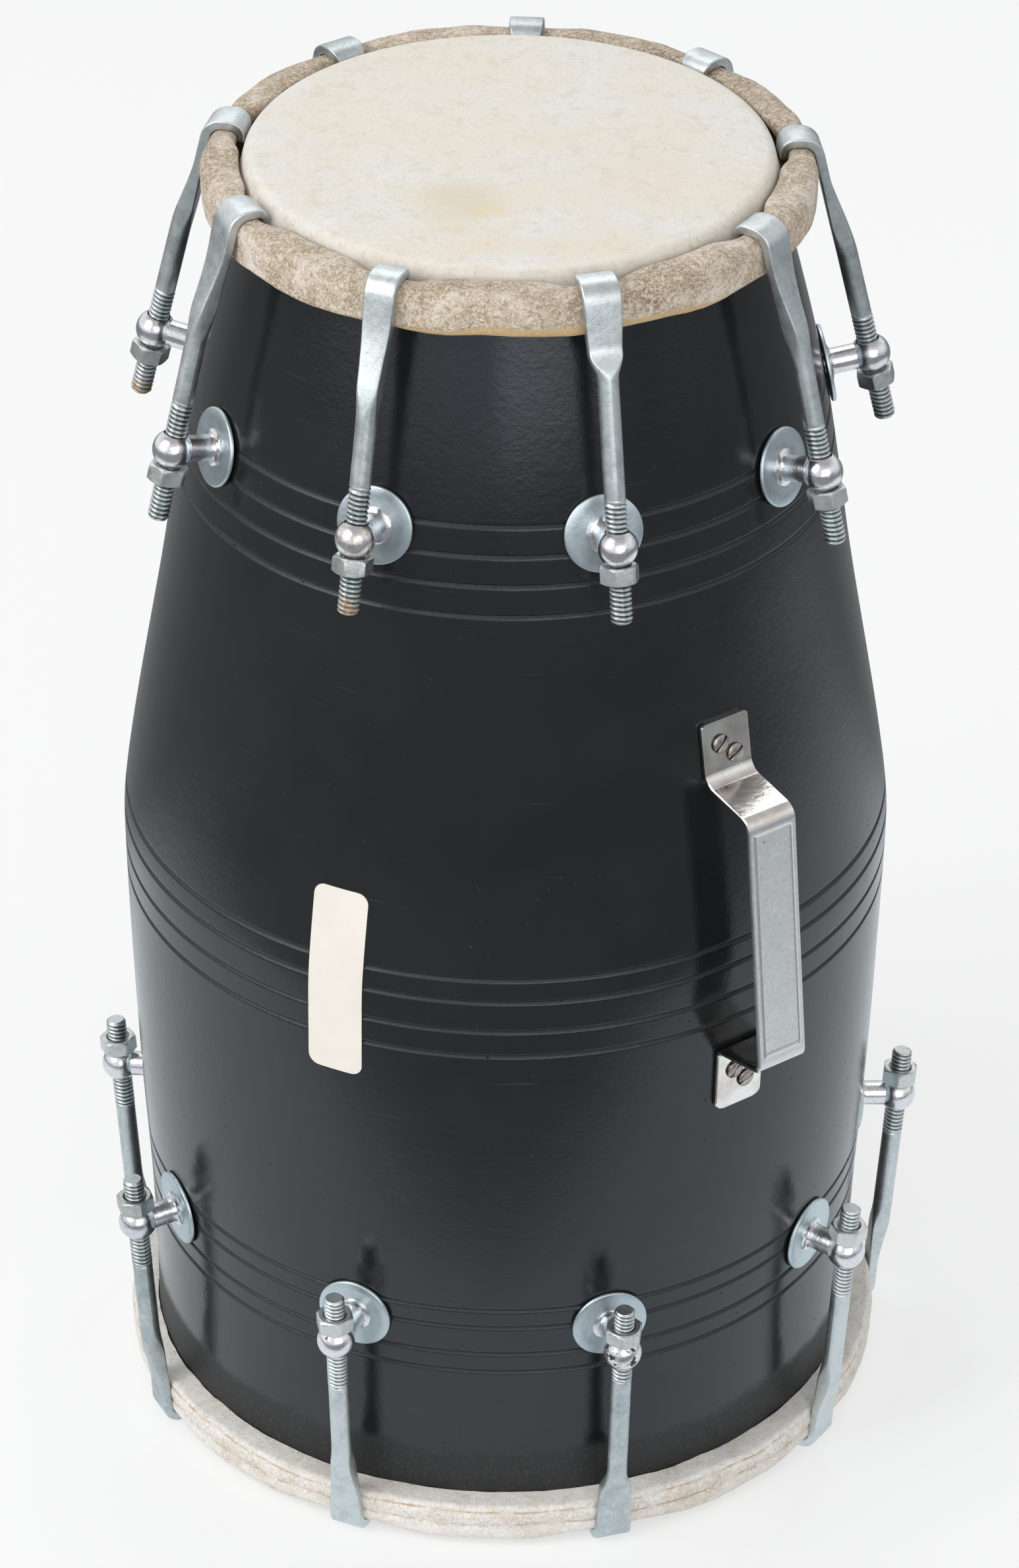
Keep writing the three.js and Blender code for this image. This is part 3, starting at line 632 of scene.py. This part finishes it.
# Heads
def build_skin(end, look, segments=360):
    face, top, back, inner_radius, outer_radius = roll_sizes(end)
    half, rim, lap, curl = end.skin / 2, end.rim_round, end.lap, end.round
    centre = (radius_from_end(end, rim) - rim, -rim)
    lie = GAP + half
    outer, inner = outer_radius - half, inner_radius + half
    low, high = back + half, top - half
    middle = (low + high) / 2
    path = [(centre[0] * k / 14, face - half) for k in range(14)]
    path += arc(centre, rim + lie, pi / 2, lean_from_end(end, rim), 8)
    path += subdivided([path[-1], (radius_from_end(end, -low) + lie, low)], 2.0)[1:]
    roll_start = len(path) - 1
    path += arc((outer - lap, low + lap), lap, -pi / 2, 0, 6)
    path += subdivided([(outer, low + lap), (outer, high - curl)], 0.7)[1:-1]
    path += arc((outer - curl, high - curl), curl, 0, pi / 2, 8)
    path += subdivided([(outer - curl, high), (inner + lap, high)], 0.8)[1:-1]
    path += arc((inner + lap, high - lap), lap, pi / 2, pi, 6)
    path += [(inner, high - lap - end.tail)]
    upper, lower = offset_path(path, half), offset_path(path, -half)
    upper[0], lower[0] = (0, face), (0, face - end.skin)
    last = len(path) - 1
    claws = [atan2(j["pos_m"][1], j["pos_m"][0]) for j in frame["joints"]
             if j["type"] == "hinge" and j["child"].startswith(end.name)]

    def on_path(row):
        return min(row, 2 * last + 1 - row)

    def between_claws(angle):
        near = min(abs(remainder(angle - claw, 2 * pi)) for claw in claws)
        return smooth_step((degrees(near) - 3.8) / 9)

    def cut_edge(angle):
        """How wide the treble skin's cut edge shows below the roll: most at the middle of the photo."""
        to_right = (degrees(angle + PHOTO_TURN) + 270) % 360 - 180
        return 1.0 + 3.2 * smooth_step(1 - abs(to_right - 12) / 48) + 0.9 * bumps(polar(4, angle, 7), 1)

    def crease_lines(x, y):
        return [crease + bumps((x, y, 0), 18, (0, 0, crease)) * 0.8 for crease in BASS_CREASES]

    def wobble(point, angle, row):
        shift = lift = 0.0
        if on_path(row) >= roll_start:
            x, height = path[on_path(row)]
            down = top - height
            free = between_claws(angle)
            outward = 1 - smooth_step((outer - x) / (outer - inner))
            above = smooth_step((height - middle) / (high - middle))
            below = smooth_step((middle - height) / (middle - low))
            calm = 0.3 + 0.7 * max(free, below)
            lump = bumps(point, 13) * 0.55 + bumps(point, 4.5, (9, 3, 1)) * 0.24
            shift = lump * calm * (1 - above * (1 - outward)) + end.swell * free * outward * (1 - 0.5 * below)
            room = inner - half - radius_from_end(end, -height) - face - 0.45
            shift -= end.bulge * free * above * (1 - outward) * max(room, 0)
            lift = bumps(point, 13, (31, 7, 5)) * 0.5 * calm * (0.4 + 0.6 * free) + end.crown * free * above
            lift += below * bumps((point.x, point.y, 0), 24, (0, 0, 3)) * end.wander
            if end is TREBLE:
                shift -= 0.55 * below * outward * smooth_step((low + cut_edge(angle) + 0.3 - height) / 0.5)
            else:
                for line in crease_lines(point.x, point.y):
                    shift -= 0.5 * outward * bell(down - line, 0.6)
                shift += 0.35 * outward * bell(down - 11, 2.4)
                lift += BASS_SAG * below
        placed = point + Vector(polar(shift, angle, lift))
        placed.z = TREBLE_RIM + placed.z if end is TREBLE else BASS_RIM - placed.z
        return placed

    part = turned(upper + lower[::-1], segments, wobble=wobble)
    piece = make(f"{end.name}_head", *(part if end is TREBLE else inside_out(*part)), look, 60)
    rows = [0] + [r for r in range(1, 2 * last + 1) for _ in range(segments)] + [2 * last + 1]
    points = []
    for v, row in zip(piece.data.vertices, rows):
        x, height = path[on_path(row)]
        down = top - height
        past = on_path(row) - roll_start
        edge = line = 0.0
        if end is TREBLE and past >= 0 and x > outer - lap - 0.1 and height < middle:
            edge = smooth_step((low + cut_edge(atan2(v.co.y, v.co.x)) + 0.4 - height) / 0.7)
        if end is BASS and past >= 0:
            line = max(bell(down - line, 0.7) for line in crease_lines(v.co.x / MM, v.co.y / MM))
            line = max(line, 0.4 * bell(down - 10, 2.8) * (x > outer - lap))
        side = smooth_step((x - centre[0] - 1.5) / 1.5) if past < 0 else 0.0
        points.append((smooth_step((past + 3) / 3), edge, line, side))
    paint(piece, **dict(zip(("roll", "edge", "line", "side"), zip(*points))))
    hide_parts(f"{end.name}_skin")
    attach(piece, "drum")
    return piece


def build_paste():
    """The tuning paste that weights the bass head from inside."""
    floor, edge = BASS_RIM - GAP + 0.02, PASTE_RADIUS
    top = floor + PASTE_THICK
    profile = [(0, floor), (edge - 0.8, floor), (edge, floor + 0.5), (edge - 0.6, floor + 1.6),
               (edge - 3, top - 0.5), (edge - 8, top - 0.1)]
    profile += [(edge * k / 8, top - 0.05) for k in range(6, -1, -1)]

    def wobble(point, angle, row):
        return point - Vector((0, 0, abs(bumps(point, 7)) * 0.4 if row > 3 else 0))

    piece = make("bass_paste", *turned(profile, 96, wobble=wobble), PASTE, 40)
    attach(piece, "drum")
    return piece


# Posts, hooks and nuts
CORNERS = [(quarter + k / 7) * pi / 2 for quarter in range(4) for k in range(8)]


def post_place(end):
    lean = lean_from_end(end, end.post)
    seat = Vector((radius_from_end(end, end.post) * FLAT, -end.post))
    ball = seat + Vector(polar(STAND_OFF, lean))
    _, top, _, _, outer = roll_sizes(end)
    apart = Vector((outer * FLAT - end.round, top - end.round)) - ball
    bearing = end.round + GAP + ROD_FLAT
    rod_lean = atan2(-apart.x, apart.y) - asin(bearing / apart.length)
    return lean, seat, rod_lean, sqrt(apart.length_squared - bearing ** 2)


def section(along, out, turn, wide, thick, corner):
    """A rounded rectangle at right angles to a hook, in the rod's frame."""
    corner = min(corner, wide, thick)
    points = []
    for k, angle in enumerate(CORNERS):
        x = (wide - corner) * (1 if k // 8 in (0, 3) else -1) + corner * cos(angle)
        y = (thick - corner) * (1 if k // 8 in (0, 1) else -1) + corner * sin(angle)
        points.append(Vector((x, -out - y * cos(turn), along + y * sin(turn))))
    return points


def thread(start, stop):
    """A screw thread along Z, with a chamfered free end, open at stop."""
    rings = []
    steps = int((stop - start) / PITCH * 8)
    for i in range(steps + 1):
        along = start + (stop - start) * i / steps
        fade = min(1.0, (stop - along) / (1.5 * PITCH))
        ring = []
        for angle in CORNERS:
            phase = (along / PITCH - angle / (2 * pi)) % 1.0
            ridge = min(1.0, 1.25 * (1 - abs(2 * phase - 1)))
            radius = PLAIN_ROD + (ROD - PLAIN_ROD - THREAD_DEPTH * (1 - ridge)) * fade
            ring.append(Vector(polar(min(radius, ROD - 0.9 + (along - start)), -angle, along)))
        rings.append(ring)
    return rings


def hook_sections(end, spade, thread_end, claw_width):
    """A hook from its thread through the forging and over the roll to the tip, in the rod's frame."""
    _, _, rod_lean, reach = post_place(end)
    _, _, _, inner_radius, outer_radius = roll_sizes(end)
    rings = thread(-NUT_SEAT - NUT_HEIGHT - end.beyond_nut, thread_end)
    half, tip_half = CLAW / 2, TIP / 2
    forged = end.forged_spade if spade else end.forged
    for k in range(1, 8):
        along = thread_end + (reach - forged - thread_end) * k / 8
        rings.append(section(along, 0, 0, PLAIN_ROD, PLAIN_ROD, PLAIN_ROD))
    for k in range(27):
        share = k / 26
        if spade:
            widen = smooth_step(share * 3.2) * 0.62 + 0.38 * smooth_step(share)
        else:
            widen = smooth_step(share) ** 1.3
        thick = PLAIN_ROD + (half - PLAIN_ROD) * smooth_step(share * (2.4 if spade else 1.25))
        corner = PLAIN_ROD + (0.7 - PLAIN_ROD) * smooth_step(share * 3.2)
        inside = ROD_FLAT + (PLAIN_ROD - ROD_FLAT) * (1 - smooth_step(share))
        rings.append(section(reach - forged * (1 - share), thick - inside, 0,
                             PLAIN_ROD + (claw_width / 2 - PLAIN_ROD) * widen, thick, corner))
    bend = end.round + GAP + half
    level = pi / 2 - rod_lean
    for k in range(1, 9):
        turn = level * k / 8
        along, out = reach + bend * sin(turn), half - ROD_FLAT - bend * (1 - cos(turn))
        rings.append(section(along, out, turn, claw_width / 2, half, 0.7))
    across = (outer_radius * FLAT - end.round) - (inner_radius * FLAT + end.lap)
    inner_bend = end.lap + GAP
    along += across * cos(level) - (inner_bend + half) * sin(level)
    out -= across * sin(level) + (inner_bend + half) * cos(level)
    tip_width = TIP_WIDTH * claw_width / CLAW_WIDTH
    for k in range(7):
        turn = level + pi / 2 * k / 6
        thin = half + (tip_half - half) * k / 6
        wide = claw_width / 2 + (tip_width - claw_width) / 2 * k / 6
        rings.append(section(along + (inner_bend + thin) * sin(turn), out + (inner_bend + thin) * cos(turn),
                             turn, wide, thin, 0.6))
    along, out = along + (inner_bend + tip_half) * sin(turn), out + (inner_bend + tip_half) * cos(turn)
    for run, shrink in ((0.7, 0.0), (0.9, 0.25), (1.0, 0.7)):
        run *= end.tip
        rings.append(section(along + run * cos(turn), out - run * sin(turn), turn,
                             tip_width / 2 - shrink, tip_half - shrink, 0.5))
    return rings


def nut_part(turn, start, bore=ROD + 0.05, sides=72):
    """A hexagon nut with turned chamfers, standing on start along Z."""
    def ring(height, limit):
        points = []
        for k in range(sides):
            angle = 2 * pi * k / sides
            hexagon = NUT_FLATS / 2 / cos((angle - turn) % (pi / 3) - pi / 6)
            points.append(Vector(polar(min(hexagon, limit), angle, start + height)))
        return points

    turning = [(0.7, bore), (0.02, bore + 0.7), (0.0, 6.1), (0.12, 6.32), (0.3, 6.63), (0.5, 6.98), (0.72, 7.35),
               (0.95, 7.75)]
    return lofted([ring(*place) for place in turning]
                  + [ring(NUT_HEIGHT - height, limit) for height, limit in reversed(turning)], closed=True)


def bore_from_end(end, depth):
    """Radius of the part's bore, which runs straight between four heights."""
    share = (SHELL_LENGTH - depth if end is TREBLE else depth) / SHELL_LENGTH
    high, low = next(pair for pair in ((1, 0.72), (0.72, 0.48), (0.48, 0)) if share >= pair[1])
    r_high, r_low = (shell_radius(s * SHELL_LENGTH) - WALL for s in (high, low))
    return r_low + (r_high - r_low) * (share - low) / (high - low)


def wall_depth(end):
    """How deep inside its seat a post's washer bears on the bore."""
    lean, seat, _, _ = post_place(end)
    depths = []
    for along in (-BACK_WASHER, 0, BACK_WASHER):
        flat = bore_from_end(end, end.post - along * cos(lean)) * FLAT
        depths.append((seat.x - along * sin(lean) - sqrt(flat ** 2 - BACK_WASHER ** 2)) * cos(lean))
    return max(depths)


def post_parts(end):
    """The post's metal in its own frame: Z out of the shell, zero on the shell's flat."""
    back = -wall_depth(end) - GAP
    nut_top = back - WASHER_THICK
    stem_end = nut_top - NUT_HEIGHT - 2
    foot = BELLY * (1 - FLAT) + 0.15
    top = foot + WASHER_THICK
    start = asin(SHANK / BALL) - pi / 2
    ball = arc((0, STAND_OFF), BALL, start, pi / 2, 22)
    stem = [(0, stem_end), (STEM - 0.5, stem_end), (STEM, stem_end + 0.5), (STEM, foot + 0.2), (6.8, foot + 0.2),
            (6.9, top + 0.5), (6.4, top + 0.9), (SHANK + 0.35, top + 1.2)]
    stem += subdivided([(SHANK, top + 2.0), ball[0]], 1.5)[:-1] + ball[:-1] + [(0, STAND_OFF + BALL)]
    w = WASHER
    washer = [(STEM, foot), (w * 0.6, foot), (w - 0.4, foot - 0.05), (w, foot + 0.3), (w, top - 0.5),
              (w - 0.2, top - 0.2), (w - 0.6, top), (w * 0.75, top - 0.14), (w * 0.55, top - 0.07), (7.4, top),
              (STEM, top)]
    inner = [(STEM, nut_top), (BACK_WASHER, nut_top), (BACK_WASHER, back), (STEM, back)]
    return (turned(stem, 40), turned(washer, 64, closed=True),
            joined(turned(inner, 40, closed=True), nut_part(0.2, nut_top - NUT_HEIGHT, bore=STEM)))


# Seen on single pieces, by end and number: claws forged as a spade, claws narrower than most, how far
# the thread runs past the middle of the ball, rust on the thread's free end, the nut and the ball, and
# flaked plate on the ball
SPADES = {("treble", 9), ("treble", 4), ("bass", 1), ("bass", 6)}
NARROW = {("treble", 8): 11.6, ("bass", 2): 13.2}
THREADS = {("bass", 1): 14.5, ("bass", 2): 24, ("bass", 3): 22, ("treble", 8): 20, ("treble", 9): 18.5}
RUST = {
    ("treble", 8): (0.75, 0.15, 0.5), ("treble", 6): (0.8, 0.25, 0.1), ("treble", 9): (0.45, 0.05, 0.0),
    ("bass", 1): (0.0, 0.05, 0.0), ("bass", 2): (0.0, 0.1, 0.05), ("bass", 8): (0.45, 0.15, 0.1),
}
FLAKED = {("bass", 1): 1.0, ("bass", 2): 0.25}


def build_fittings(end):
    lean, _, rod_lean, _ = post_place(end)
    stem, washer, inner = post_parts(end)
    verts, faces = turned([(0, -12), (HOLE + 0.1, -12), (HOLE + 0.1, 12), (0, 12)], 40)
    across = Matrix.Translation((0, 0, STAND_OFF)) @ Matrix.Rotation(lean - rod_lean - pi / 2, 4, "X")
    drill = make("drill", [across @ v for v in verts], faces, POST_CHROME)
    sample = cut(make("sample", *stem, POST_CHROME, 32), drill)
    bored = ([v.co / MM for v in sample.data.vertices], [tuple(p.vertices) for p in sample.data.polygons])
    bpy.data.objects.remove(sample)
    joints = {j["child"]: j for j in frame["joints"] if j["type"] == "hinge"}
    free_end = -NUT_SEAT - NUT_HEIGHT
    thread_start = free_end - end.beyond_nut
    for number in range(1, 10):
        key = (end.name, number)
        label = f"{end.name}_{{}}_{number}"
        joint = joints[label.format("nut")]
        ball, run = Vector(joint["pos_m"]), -Vector(joint["axis"]).normalized()
        radial = Vector((ball.x, ball.y, 0)).normalized()
        out = (radial - run * radial.dot(run)).normalized()
        rod_frame = frame_of(ball, (-out).cross(run), -out, run)
        upward = Vector((0, 0, 1 if end is TREBLE else -1))
        post_axis = (radial * cos(lean) + upward * sin(lean)).normalized()
        side = (-radial).cross(upward).normalized()
        post_frame = frame_of(ball - post_axis * STAND_OFF * MM, side, post_axis.cross(side), post_axis)
        usual = (DRAW.uniform(0, 0.35), DRAW.uniform(0, 0.12), DRAW.uniform(0, 0.1))
        rust_end, rust_nut, rust_ball = RUST.get(key, usual)
        flaked = FLAKED.get(key, DRAW.uniform(0, 0.15))
        seed, tone = DRAW.uniform(0, 40), DRAW.uniform(-0.12, 0.12)
        thread_end = THREADS.get(key, DRAW.uniform(18, 22))
        claw_width = NARROW.get(key, CLAW_WIDTH - DRAW.uniform(0, 1.2))

        def hook_tone_and_thread_shade(p):
            """Painted shade: dark in the valleys of the thread, but not on the free end's face."""
            deep = smooth_step((ROD - 0.25 - hypot(p.x, p.y)) / 0.45)
            return tone - 0.6 * deep * (thread_start + 0.8 < p.z < thread_end - PITCH)

        sections = hook_sections(end, key in SPADES, thread_end, claw_width)
        hook = make(label.format("claw_hook"), *lofted(sections), HOOK_ZINC, 32, rod_frame)
        nut = make(label.format("hex_nut"), *nut_part(DRAW.uniform(0, pi / 3), free_end), NUT_ZINC, 28, rod_frame)
        post = make(label.format("ball_post"), *joined(bored, inner), POST_CHROME, 32, post_frame)
        plate = make(label.format("post_washer"), *washer, WASHER_ZINC, 40, post_frame)
        paint(hook, rust=lambda p: rust_end * smooth_step((free_end + 2 - p.z) / (end.beyond_nut + 2)))
        paint(nut, rust=rust_nut)
        paint(post, rust=lambda p: rust_ball * (p.z > STAND_OFF - BALL),
              flaked=lambda p: flaked * (p.z > STAND_OFF - BALL))
        for piece, node, slot, owner in (
            (hook, "hook", "hook", label.format("hook")), (nut, "nut", "nut", label.format("nut")),
            (post, "eye_post", "eye_post", "drum"), (plate, None, "eye_post", "drum"),
        ):
            # The hook's tone carries painted shade in the thread's valleys; the other pieces get their random tone.
            paint(piece, seed=seed, tone=hook_tone_and_thread_shade if piece is hook else tone)
            if node:
                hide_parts(label.format(node))
            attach(piece, owner)


# Handle
def handle_path():
    """Side view of the strip's middle: (distance from the axis, height), with rounded bends."""
    def off_shell(height, off=0.0, run=0.0):
        return shell_radius(height - BASS_RIM) * FLAT + GAP + STRIP_THICK / 2 + off, height + run

    low, high = HANDLE_MIDDLE - HANDLE_LENGTH / 2, HANDLE_MIDDLE + HANDLE_LENGTH / 2
    low_bend, high_bend = low + PLATES[0], high - PLATES[1]
    corners = [off_shell(low), off_shell(low_bend), off_shell(low_bend, GRIP_OFF, LEG_RUN),
               off_shell(high_bend, GRIP_OFF, -LEG_RUN), off_shell(high_bend), off_shell(high)]
    path = [corners[0]]
    for before, corner, after, radius in zip(corners, corners[1:], corners[2:], (3.0, 4.0, 5.0, 7.0)):
        corner = Vector(corner)
        back, on = (Vector(before) - corner).normalized(), (Vector(after) - corner).normalized()
        half = back.angle(on) / 2
        centre = corner + (back + on).normalized() * (radius / sin(half))
        first = corner + back * (radius / tan(half)) - centre
        sweep = (pi - 2 * half) * (1 if first.x * on.y - first.y * on.x > 0 else -1)
        start = atan2(first.y, first.x)
        path += arc(centre, radius, start, start + sweep, 10)
    return corners, path + corners[-1:]


def build_handle():
    corners, path = handle_path()
    path = subdivided(path, 0.7)
    lengths = [0.0]
    for (x0, y0), (x1, y1) in zip(path, path[1:]):
        lengths.append(lengths[-1] + hypot(x1 - x0, y1 - y0))
    (low_x, low_y), (high_x, high_y) = corners[2:4]
    start = min(s for s, (x, y) in zip(lengths, path) if x > low_x - 1 and y > low_y) + 5.0
    stop = max(s for s, (x, y) in zip(lengths, path) if x > high_x - 0.6 and y < high_y - 1) - 4.0
    half, thick, soft = STRIP / 2, STRIP_THICK / 2, 0.45
    border = half - 2.6

    def soft_edged(u, reach):
        """Half the strip's thickness at u across it, with soft edges."""
        past = 1 - min(1.0, (reach - abs(u)) / soft)
        return thick - soft * (1 - sqrt(max(0.0, 1 - past ** 2)))

    sections = []
    for i, ((x, y), s) in enumerate(zip(path, lengths)):
        a, b = path[max(i - 1, 0)], path[min(i + 1, len(path) - 1)]
        run = Vector((b[0] - a[0], b[1] - a[1])).normalized()
        reach = half - max(rounded_off(s, 3.4), rounded_off(lengths[-1] - s, 1.6))
        ring = []
        for k in range(57):
            u = reach * (k / 28 - 1)
            ridge = 1 - abs(abs(u) - border) / 0.55 if start - 0.6 < s < stop + 0.6 else 0.0
            if abs(u) < border + 0.5:
                ridge = max(ridge, 1 - min(abs(s - start), abs(s - stop)) / 0.6)
            ring.append((u, soft_edged(u, reach) + 0.42 * smooth_step(ridge)))
        for k in range(12, -1, -1):
            u = reach * (k / 6 - 1)
            ring.append((u, -soft_edged(u, reach)))
        sections.append([Vector((u, -(x + run.y * r), y - run.x * r)) for u, r in ring])
    piece = make("carrying_handle", *inside_out(*lofted(sections)), NICKEL, 30)
    paint(piece, panel=lambda p: 1.0 if low_y + 1 < p.z < high_y - 1 and p.y < -150 else 0.0)
    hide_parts("handle")
    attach(piece, "drum")
    return corners


# The handle's screws: first corner of the plate, place across and along it as shares of SCREW_SPREAD,
# turn of the slot and rust
SCREWS = (
    (0, 0.34, 0.37, 0.9, 0.45), (0, -0.34, -0.37, 0.35, 0.1),
    (4, 0.38, 0.33, 0.75, 0.15), (4, -0.38, -0.33, 0.5, 0.4),
)


def build_screws(corners):
    head = [(0, -11), (2, -9), (2, 0), (SCREW_HEAD - 0.2, 0), (SCREW_HEAD, 0.2), (SCREW_HEAD, 0.5)]
    head += [(SCREW_HEAD * cos(pi * k / 16), 0.5 + (SCREW_HIGH - 0.5) * sin(pi * k / 16)) for k in range(1, 8)]
    slot_floor, slot_half, slot_reach = SCREW_HIGH - 0.9, 0.6, SCREW_HEAD * 1.5
    for number, (first, across, along, turn, rust) in enumerate(SCREWS, 1):
        a, b = Vector(corners[first]), Vector(corners[first + 1])
        run = (b - a).normalized()
        place = (a + b) / 2 + Vector((run.y, -run.x)) * STRIP_THICK / 2 + run * along * SCREW_SPREAD
        matrix = (Matrix.Translation(Vector((-across * SCREW_SPREAD, -place.x, place.y)) * MM)
                  @ Matrix.Rotation(pi / 2 - atan2(-run.x, run.y), 4, "X"))
        piece = make(f"handle_screw_{number}", *turned(head + [(0, SCREW_HIGH)], 40), SCREW_STEEL, 30, matrix)
        slot = [[Matrix.Rotation(turn, 4, "Z") @ Vector((x * slot_reach, y * slot_half, z))
                 for x, y in SQUARE] for z in (slot_floor - 0.2, SCREW_HIGH + 2)]
        cut(piece, make("tool", *lofted(slot), SCREW_STEEL, 30, matrix))
        # Painted shade: the slot's floor and the head's lower rim, and all below them, are made darker.
        paint(piece, rust=rust, tone=lambda p: -0.5 if p.z < slot_floor + 0.1 else 0.0, seed=number * 3.7)
        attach(piece, "drum")


# Sticker
def build_sticker(low=214.3, high=292.3, width=22.0, corner=4.4):
    """Bare paper, which dips a little into the grooves under it."""
    middle, azimuth, tilt = (low + high) / 2, radians(-61.8 - 90), radians(1.0)
    rounding = [corner * (1 - cos(pi / 2 * k / 8)) for k in range(8)]
    straight = [corner + (high - low - 2 * corner) * k / 54 for k in range(55)]
    sections = []
    for v in [low + rise for rise in rounding + straight] + [high - rise for rise in reversed(rounding)]:
        half = width / 2 - rounded_off(min(v - low, high - v), corner)
        ring = []
        for k, lift in [(k, 0.21) for k in range(21)] + [(k, 0.05) for k in range(20, -1, -1)]:
            u = half * (k / 10 - 1)
            across, height = u * cos(tilt) + (v - middle) * sin(tilt), (v - middle) * cos(tilt) - u * sin(tilt)
            height += middle
            dip = sum(bell(height - line - BASS_RIM, 1.1) for line in LINES)
            radius = shell_radius(height - BASS_RIM) + lift + 0.08 - 0.09 * dip
            ring.append(Vector(polar(radius, azimuth + across / radius, height)))
        sections.append(ring)
    piece = make("shell_sticker", *lofted(sections), PAPER, 40)
    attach(piece, "drum")


# Camera, light and floor
def build_camera():
    """The camera of the photograph, solved from the ellipses of the drum."""
    pitch, yaw, roll = 0.56514, 0.00075, 0.00687
    forward = Vector((sin(yaw) * cos(pitch), cos(yaw) * cos(pitch), -sin(pitch)))
    right = Vector((cos(yaw), -sin(yaw), 0))
    up = right.cross(forward)
    axes = right * cos(roll) + up * sin(roll), up * cos(roll) - right * sin(roll), -forward
    turn = Matrix.Rotation(-PHOTO_TURN, 3, "Z")
    lens = bpy.data.cameras.new("camera")
    camera = bpy.data.objects.new("camera", lens)
    scene.collection.objects.link(camera)
    camera.matrix_world = frame_of(turn @ Vector((0, -2.0156, 1.5345)), *(turn @ axis for axis in axes))
    lens.sensor_fit = "VERTICAL"
    lens.sensor_height = lens.sensor_width = 36.0
    lens.lens = 9364.1 * 36 / 2380      # in pixels of the photograph, which is 2380 high
    lens.clip_start, lens.clip_end = 0.01, 50
    scene.camera = camera


def lamp(name, azimuth, elevation, distance, size, power):
    """A soft light towards the drum's middle. Azimuth 0 is in front, in degrees."""
    a, e = radians(azimuth), radians(elevation)
    light = bpy.data.lights.new(name, "AREA")
    light.shape = "RECTANGLE"
    light.size, light.size_y = size
    light.energy = power
    out = Vector((sin(a) * cos(e), -cos(a) * cos(e), sin(e))) * distance
    holder = bpy.data.objects.new(name, light)
    holder.matrix_world = (Matrix.Translation(Vector((0, 0, 0.26)) + out)
                           @ (-out).to_track_quat("-Z", "Y").to_matrix().to_4x4())
    scene.collection.objects.link(holder)


def seen_share(nodes):
    """1 on what the camera, a reflection or a glass sees, 0 on what only lights the object."""
    camera, glossy, glass = (nodes.out(f"Is {kind} Ray", "ShaderNodeLightPath")
                             for kind in ("Camera", "Glossy", "Transmission"))
    return camera.or_more(glossy).or_more(glass), glossy


def build_world():
    """White behind the object. What its gloss reflects is a studio: dim to the right and overhead."""
    world = bpy.data.worlds.new("studio")
    scene.world = world
    world.use_nodes = True
    world.node_tree.nodes.clear()
    sky = Nodes(world.node_tree)
    right, _, high = sky.xyz(sky.as_in_photo(sky.out("Generated", "ShaderNodeTexCoord")))
    level = (right * 0.5 + 0.5).ramp(
        (0.0, (1.0, 1.0, 1.0)), (0.3, (0.88, 0.92, 1.0)), (0.46, (0.84, 0.89, 0.98)), (0.6, (0.66, 0.7, 0.78)),
        (0.74, (0.3, 0.33, 0.38)), (0.9, (0.34, 0.38, 0.44)), (1.0, (0.7, 0.72, 0.75)))
    overhead = high.ramp((0.0, (1.0, 1.0, 1.0)), (0.55, (0.95, 0.95, 0.95)), (0.9, (0.5, 0.5, 0.52)))
    seen, glossy = seen_share(sky)
    studio = sky.mix(glossy, (1.0, 1.0, 1.0), sky.mix(high.between(0.06, 0.4), level, overhead))
    soft, shown = (sky.out(0, "ShaderNodeBackground", {"Color": colour, "Strength": strength})
                   for colour, strength in (((0.98, 0.99, 1.0), 0.6), (studio, 1.0)))
    blend = sky.out(0, "ShaderNodeMixShader", {0: seen, 1: soft, 2: shown})
    sky.add("ShaderNodeOutputWorld", {"Surface": blend})


def build_floor():
    """A pale floor that glows a little for the camera. In gloss it shows a painted pool of light: bright close to
    the drum only.
    """
    look = Look("pale_floor", Base_Color=(0.9, 0.9, 0.9), Roughness=0.9, Specular_IOR_Level=0.1)
    x, y, _ = look.xyz(look.as_in_photo(look.out("Position", "ShaderNodeNewGeometry")))
    right, left = x.or_more(0.0), (x * -1.0).or_more(0.0)
    deep = right * 0.3 + left * 0.12 + 0.27
    far = look.length(look.out(0, "ShaderNodeCombineXYZ", {"X": right + left * 1.4, "Y": y / deep}))
    # Painted pool of light, seen only in reflections: bright near the drum, dim further out.
    near = far.between(1.35, 0.85).ramp((0.0, (0.17, 0.18, 0.19)), (1.0, (0.9, 0.96, 1.0)))
    seen, glossy = seen_share(look)
    glow = look.out(0, "ShaderNodeEmission", {"Color": look.mix(glossy, (1.0, 1.0, 1.0), near), "Strength": 1.0})
    matt = Value(look, look.shader.outputs[0])
    both = look.out(0, "ShaderNodeMixShader", {0: (seen * 0.6).or_more(glossy * 0.85), 1: matt, 2: glow})
    look.put(both, look.tree.nodes["Material Output"].inputs["Surface"])
    make("floor", [(x * 9000, y * 9000, 0) for x, y in SQUARE], [(0, 1, 2, 3)], look.material)


build_camera()
build_world()
build_floor()
lamp("key_left", -95, 38, 2.3, (1.3, 1.5), 24)
lamp("fill_front", -20, 22, 2.7, (2.0, 1.6), 16)
lamp("top_back", 150, 58, 2.4, (1.8, 1.2), 12)
scene.view_settings.view_transform = "Standard"
build_shell()
treble_head = build_skin(TREBLE, TREBLE_HIDE)
bass_head = build_skin(BASS, BASS_HIDE)
paste = build_paste()
# Each head is cut as a round of goat skin
build_fittings(TREBLE)
build_fittings(BASS)
build_screws(build_handle())
build_sticker()
for hoop in ("treble_hoop", "bass_hoop"):
    frame["nodes"][hoop].data.materials.clear()
    frame["nodes"][hoop].data.materials.append(HOOP_STEEL)
